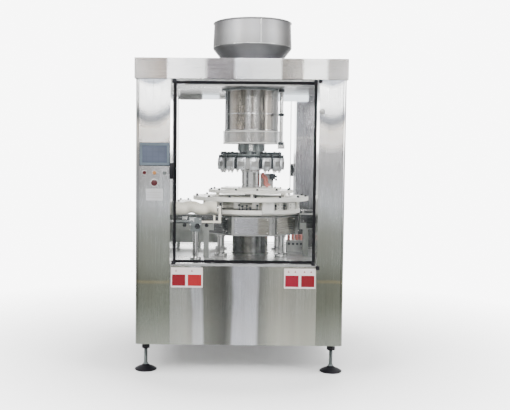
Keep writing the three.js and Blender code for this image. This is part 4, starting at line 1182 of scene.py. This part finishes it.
def make_conveyors():
    belt = Kit("conveyor_belts", "cabinet", "belt")
    rails = Kit("conveyor_rails", "cabinet", "polished")
    edges = Kit("conveyor_edges", "cabinet", "housing_plate")
    ends = Kit("conveyor_end_rollers", "cabinet", "black")
    top = BELT_TOP
    for x0, x1, y0, y1 in CONVEYORS:
        belt.box((x0, y0 + 0.006, top + 0.0002), (x1, y1 - 0.006, top + 0.0022))
        for x in (x0 + 0.0005, x1 - 0.0005):
            ends.rod((x, y0 + 0.010, top - 0.016), (x, y1 - 0.010, top - 0.016), 0.0015, sides=16)
        for y in (y0 - 0.0022, y1 + 0.0002):
            edges.box((x0 + 0.002, y, top - 0.058), (x1 - 0.002, y + 0.002, top - 0.002))
        count = max(2, round((x1 - x0) / 0.09))
        for i in range(count + 1):
            x = x0 + 0.02 + (x1 - x0 - 0.04) * i / count
            rails.socket_screw((x, y0 - 0.0022, top - 0.045), TO_FRONT, 0.0042)
    runs = [(RAIL_Y, (-0.645, -0.45, -0.19), (-0.62, -0.30, -0.20), top - 0.01)]
    runs += [(y, (0.432, 0.54, 0.645), (0.45, 0.62), top) for y in (-0.2115, -0.1385)]
    for y, along, posts, bottom in runs:
        rails.tube([(x, y, RAIL_Z) for x in along], 0.003)
        for x in posts:
            rails.post((x, y), bottom, RAIL_Z, 0.003, sides=12)
    belt.done()
    rails.done()
    edges.done(bevel=0.0005)
    ends.done()


def make_infeed_details():
    knobs = Kit("guide_plate_knobs", "cabinet", "black")
    for at in ((-0.42, -0.22), (-0.365, 0.07), (-0.42, 0.07)):
        knobs.lathe(GUIDE_KNOB, at, sides=20)
    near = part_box("cross_clamp")[0].y - 0.0008
    knobs.rod((-0.278, near, 0.940), (-0.278, near + 0.0168, 0.940), 0.0185, sides=12, chamfer=0.003)
    knobs.done()
    screws = Kit("clamp_screws", "cabinet", "bolt")
    for at, out, size in CLAMP_SCREWS:
        screws.socket_screw(at, out, size)
    screws.rod((-0.430, -0.420, 0.968), (-0.452, -0.420, 0.968), 0.008, sides=24, chamfer=0.001)
    for at, out, size in BEARING_SCREWS:
        screws.socket_screw(at, out, size)
    screws.done()
    plates = Kit("infeed_clamp_plates", "cabinet", "bolt")
    for low, high in CLAMP_PLATES:
        plates.box(low, high)
    plates.done(bevel=0.0006)
    stems = Kit("infeed_knobs", "cabinet", "black")
    for x, z in INFEED_KNOBS:
        stems.rod((x, -0.3544, z), (x, -0.372, z), 0.005, sides=16)
        stems.rod((x, -0.372, z), (x, -0.386, z), 0.013, sides=10, chamfer=0.002)
    stems.done()
    guard = Kit("outfeed_guard_box", "cabinet", "housing_plate")
    guard.box((0.470, -0.2172, 0.912), (0.600, -0.2152, 0.990)).done(bevel=0.0008)


# ---- Chamber --------------------------------------------------------------------------------------------
ROSE_HOSE = [
    (0.170, 0.010, 1.288), (0.176, 0.004, 1.272), (0.192, 0.000, 1.258), (0.200, 0.000, 1.240),
    (0.198, 0.000, 1.222), (0.208, 0.002, 1.208), (0.222, 0.006, 1.1985),
]
AIR_TUBE = [
    (0.268, -0.126, 1.878), (0.267, -0.128, 1.76), (0.269, -0.128, 1.64), (0.266, -0.130, 1.54),
    (0.268, -0.132, 1.500), (0.272, -0.128, 1.4885), (0.278, -0.124, 1.4845),
]
MANIFOLD_PORTS = (0.372, 0.402, 0.432, 0.460)
DECK_TOP = 0.7145


def make_chamber_fittings():
    """The fixed post by the neck, its hoses and valve, and the lift rod's thin tube and collars."""
    post = Kit("cam_post", "cabinet", "housing").box((0.158, 0.030, 1.1863), (0.250, 0.085, 1.286))
    post.box((0.176, 0.026, 1.200), (0.232, 0.0298, 1.272)).done(bevel=0.002)
    foot = Kit("cam_post_foot", "cabinet", "white")
    foot.box((0.168, -0.012, 1.1863), (0.236, 0.024, 1.198)).done(bevel=0.002)
    hose = Kit("rose_air_hose", "cabinet", "rose").tube(smooth_path(ROSE_HOSE), 0.0125, sides=16)
    second = [(x - 0.012, y - 0.020, z - 0.004) for x, y, z in ROSE_HOSE[1:]]
    hose.tube(smooth_path(second), 0.0085, sides=16).done(smooth=60)
    valve = Kit("air_valve", "cabinet", "dark_metal").box((0.222, -0.016, 1.246), (0.262, 0.022, 1.286))
    valve.box((0.2625, -0.008, 1.236), (0.276, 0.016, 1.250))
    valve.rod((0.262, 0.008, 1.268), (0.276, 0.008, 1.262), 0.008, sides=16, chamfer=0.0015)
    valve.post((0.244, 0.008), 1.236, 1.257, 0.007, sides=16).done(bevel=0.0015)
    Kit("clear_air_tube", "cabinet", "tube").tube(smooth_path(AIR_TUBE), 0.004).done(smooth=60)
    collars = Kit("lift_rod_collars", "cabinet", "dark_metal")
    for z in (1.4905, 1.690, 1.858):
        collars.lathe(band(0.0132, 0.021, z, z + 0.018), middle("lift_rod"), sides=32)
    collars.done(bevel=0.001)


def make_background_fittings():
    """Fittings at the back of the chamber: a cable duct, an air manifold and lamps under the ceiling."""
    duct = Kit("rear_cable_duct", "cabinet", "conveyor").box((-0.470, 0.300, 0.750), (-0.115, 0.350, 0.880))
    for x in (-0.450, -0.290, -0.130):
        duct.box((x - 0.012, 0.315, DECK_TOP), (x + 0.012, 0.335, 0.751))
    duct.done(bevel=0.002)
    clips = Kit("rear_cable_duct_clips", "cabinet", "bolt")
    for i in range(6):
        clips.socket_screw((-0.450 + 0.060 * i, 0.300, 0.862), TO_FRONT, 0.006)
    clips.done()
    manifold = Kit("air_manifold", "cabinet", "housing")
    manifold.box((0.350, 0.060, DECK_TOP), (0.480, 0.110, 0.800)).done(bevel=0.002)
    ports = Kit("air_manifold_ports", "cabinet", "rose")
    taps = Kit("air_manifold_taps", "cabinet", "dark_metal")
    for x in MANIFOLD_PORTS:
        ports.post((x, 0.085), 0.799, 0.842, 0.0115, chamfer=0.002)
        taps.rod((x, 0.060, 0.775), (x, 0.046, 0.775), 0.008, sides=16, chamfer=0.001)
    ports.done()
    taps.done()
    top = CEILING - 0.0004
    cover = Kit("rear_lamp_cover", "cabinet", "housing")
    cover.box((-0.452, 0.440, CEILING - 0.034), (-0.285, 0.500, top)).done(bevel=0.002)
    lamps = Kit("rear_light_boxes", "cabinet", "lamp")
    lamps.box((-0.278, 0.450, CEILING - 0.030), (-0.150, 0.495, top))
    lamps.box((0.240, 0.360, CEILING - 0.046), (0.530, 0.420, top)).done(bevel=0.002)


# ---- Feet and drive -------------------------------------------------------------------------------------
STUD, THREAD, THREAD_PITCH, THREAD_Z = 0.0105, 0.012, 0.0035, (0.038, 0.172)
NUT_TOP = 0.1888
MOTOR_FINS, FIN_CIRCLE = 28, 0.0845
PULLEY_BOLT_Z = 0.455
MOTOR_CABLE = [  # X from the motor's axis, Y and Z
    (0, 0.118, 0.33), (0, 0.15, 0.328), (-0.02, 0.24, 0.30),
    (-0.08, 0.36, 0.225), (-0.15, 0.42, 0.215), (-0.23, 0.43, 0.215),
]


def make_feet():
    for corner in CORNERS:
        name, body = f"foot_{corner}", f"{corner}_foot"
        low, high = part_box(name)
        at, pad = middle(name)[:2], (high.x - low.x) / 2
        stand_in(f"foot_pad_{corner}", name, body, "black", [
            (0, 0), (pad - 0.003, 0), (pad, 0.003), (pad, 0.007), (pad - 0.004, 0.0095), (0.052, 0.019),
            (0.030, 0.027), (0.022, 0.034), (0.0185, 0.036), (0, 0.036),
        ], "black_polymer", at, sides=64)
        profile, (z, top) = [(0, 0.035), (STUD, 0.035)], THREAD_Z
        while z < top:
            profile += [(STUD, z), (THREAD, z + THREAD_PITCH / 2)]
            z += THREAD_PITCH
        profile += [(STUD, 0.176), (STUD, 0.300), (0, 0.300)]
        stud = Kit(f"foot_stud_{corner}", body, "gunmetal").lathe(profile, at, sides=24)
        stud.post(at, 0.036, 0.046, 0.0165, sides=6, chamfer=0.001).done(smooth=20)
        nut = Kit(f"foot_lock_nut_{corner}", body, "black")
        nut.post(at, NUT_TOP - 0.018, NUT_TOP - 0.003, 0.027, sides=6, chamfer=0.0025)
        nut.post(at, NUT_TOP - 0.003, NUT_TOP, 0.028, sides=32)
        nut.post(at, 0.142, 0.1665, 0.0275, sides=6, chamfer=0.0025).done()


def make_drive_details():
    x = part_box("gearmotor")[0].x + 0.095  # the motor's axis
    fins = Kit("motor_fins", "cabinet", "enamel")
    for a in angles(MOTOR_FINS):
        if abs(math.sin(a) - 1) >= 0.35:  # none where the cable leaves
            at = (x + FIN_CIRCLE * math.cos(a), FIN_CIRCLE * math.sin(a))
            fins.block(at, 0.006, 0.0013, 0.232, 0.375, a)
    fins.done()
    bolts = Kit("motor_bolts", "cabinet", "bolt")
    for dx in (-0.082, 0.082):
        for dy in (-0.082, 0.082):
            bolts.hex_bolt((x + dx, dy, 0.221), 0.006)
    bolts.done()
    pulley = Kit("pulley_bolts", "turret", "bolt")
    for angle in stations(6, 0.2):
        pulley.hex_bolt(on_circle(0.080, angle, PULLEY_BOLT_Z), 0.006)
    pulley.done()
    motor = Kit("motor_pulley_bolt", "drive_pulley", "bolt").hex_bolt((x, 0, PULLEY_BOLT_Z), 0.009)
    motor.hex_bolt((x + 0.038, 0, PULLEY_BOLT_Z), 0.005).done()
    run = smooth_path([(x + dx, y, z) for dx, y, z in MOTOR_CABLE])
    Kit("motor_cable", "cabinet", "rubber").tube(run, 0.006).done(smooth=60)


# ---- Studio ---------------------------------------------------------------------------------------------
FLOOR_REACH, FLOOR_FADE = 40.0, (1.0, 3.4)  # the floor fades out between these distances from the machine
SKY = [  # place from straight down to straight up, grey level
    (0.0, 0.70), (0.49, 0.75), (0.50, 0.80), (0.53, 0.85),
    (0.56, 1.0), (0.62, 0.90), (0.75, 0.70), (1.0, 0.95),
]
FLAGS = [  # degrees round from the front, the same on both sides, and grey level
    (0, 0.85), (14, 0.85), (26, 1.0), (34, 0.22), (54, 0.22),
    (64, 1.0), (92, 1.0), (108, 0.28), (128, 0.28), (150, 1.0),
]
SURROUND, BACKDROP = 1.75, 8.0  # strength of the light from the room, and of the white behind the machine
LIGHTS = [  # name, place, aim, size, power
    ("key_left", (-3.6, -3.4, 3.6), (0.0, 0.0, 1.2), (2.4, 2.4), 240),
    ("fill_right", (3.8, -2.6, 2.6), (0.0, 0.0, 1.1), (1.6, 3.0), 150),
    ("back_glow", (0.4, 3.6, 2.6), (0.1, 0.0, 1.2), (3.0, 2.4), 220),
    ("over_head", (0.1, -0.4, 4.6), (0.1, 0.0, 0.0), (3.0, 3.0), 150),
    ("front_soft", (0.2, -5.4, 4.2), (0.1, 0.0, 1.1), (3.0, 1.2), 190),
    ("left_window", (-1.3, -8.0, 2.52), (-0.56, -0.65, 1.82), (0.9, 0.4), 26),
    ("right_window", (1.6, -8.0, 2.52), (0.58, -0.65, 1.82), (0.9, 0.4), 26),
]


def fading_floor():
    """A pale matt floor that fades into the white surround away from the machine."""
    look = Look("studio_floor", roughness=0.75)
    cloud = look.noise((1.2, 1.2, 1.2), detail=4.0)
    look.set("Base Color", look.ramp(cloud, [(0.3, grey(0.92)), (0.7, grey(0.95))]))
    distance = look.new("VectorMath", look.place, settings={"operation": "LENGTH"}).outputs["Value"]
    look.set("Alpha", look.span(distance, *FLOOR_FADE, 1.0, 0.0))
    look.bump(look.noise((30.0, 30.0, 30.0), detail=3.0), 0.2, 0.0004)
    return look.material


def make_floor():
    data = bpy.data.meshes.new("floor")
    corners = [(-1, -1), (1, -1), (1, 1), (-1, 1)]
    data.from_pydata([(x * FLOOR_REACH, y * FLOOR_REACH, 0) for x, y in corners], [], [(0, 1, 2, 3)])
    floor = bpy.data.objects.new("floor", data)
    floor.location.z = min(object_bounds()[0].z, 0.0) - 0.0005
    data.materials.append(fading_floor())
    bpy.context.scene.collection.objects.link(floor)


def make_world():
    """A room of soft grey light, and plain white where the camera looks past the machine.

    Dark flags stand round the room, so turned and round metal shows bright and dark upright streaks.
    """
    world = bpy.data.worlds.new("studio")
    world.use_nodes = True
    tree = Nodes(world.node_tree, "Generated")
    direction = tree.split(tree.place)
    height = tree.span(direction["Z"], -1.0, 1.0, 0.0, 1.0)
    sky = tree.ramp(height, [(at, grey(level)) for at, level in SKY])
    heading = tree.math("ARCTAN2", direction["X"], tree.math("MULTIPLY", direction["Y"], -1.0))
    turns = sorted([(-degrees, level) for degrees, level in FLAGS[1:]] + FLAGS)
    flags = tree.ramp(
        tree.span(heading, -math.pi, math.pi, 0.0, 1.0),
        [(degrees / 360 + 0.5, grey(level)) for degrees, level in turns],
    )
    room = tree.nodes["Background"]
    tree.links.new(tree.tint(sky, flags), room.inputs["Color"])
    room.inputs["Strength"].default_value = SURROUND
    plain = tree.new("Background", Color=(1.0, 1.0, 1.0, 1.0), Strength=BACKDROP)
    seen = tree.new("LightPath").outputs["Is Camera Ray"]
    choice = tree.new("MixShader", seen, room.outputs[0], plain.outputs[0])
    tree.links.new(choice.outputs[0], tree.nodes["World Output"].inputs[0])
    bpy.context.scene.world = world


def make_lights():
    for name, place, aim, size, power in LIGHTS:
        light = bpy.data.objects.new(name, bpy.data.lights.new(name, "AREA"))
        light.data.shape = "RECTANGLE"
        light.data.size, light.data.size_y = size
        light.data.energy = power
        light.location = place
        light.rotation_euler = (Vector(aim) - Vector(place)).to_track_quat("-Z", "Y").to_euler()
        bpy.context.scene.collection.objects.link(light)


make_camera()
dress_cad_nodes()
make_hopper()
make_roof()
make_labels()
make_panel_hardware()
make_window_trim()
make_doors()
make_controls()
make_drum()
make_shaft()
make_stations()
make_plungers()
make_discs()
make_table_details()
make_housing()
make_screw()
make_conveyors()
make_infeed_details()
make_chamber_fittings()
make_background_fittings()
make_feet()
make_drive_details()
make_floor()
make_world()
make_lights()
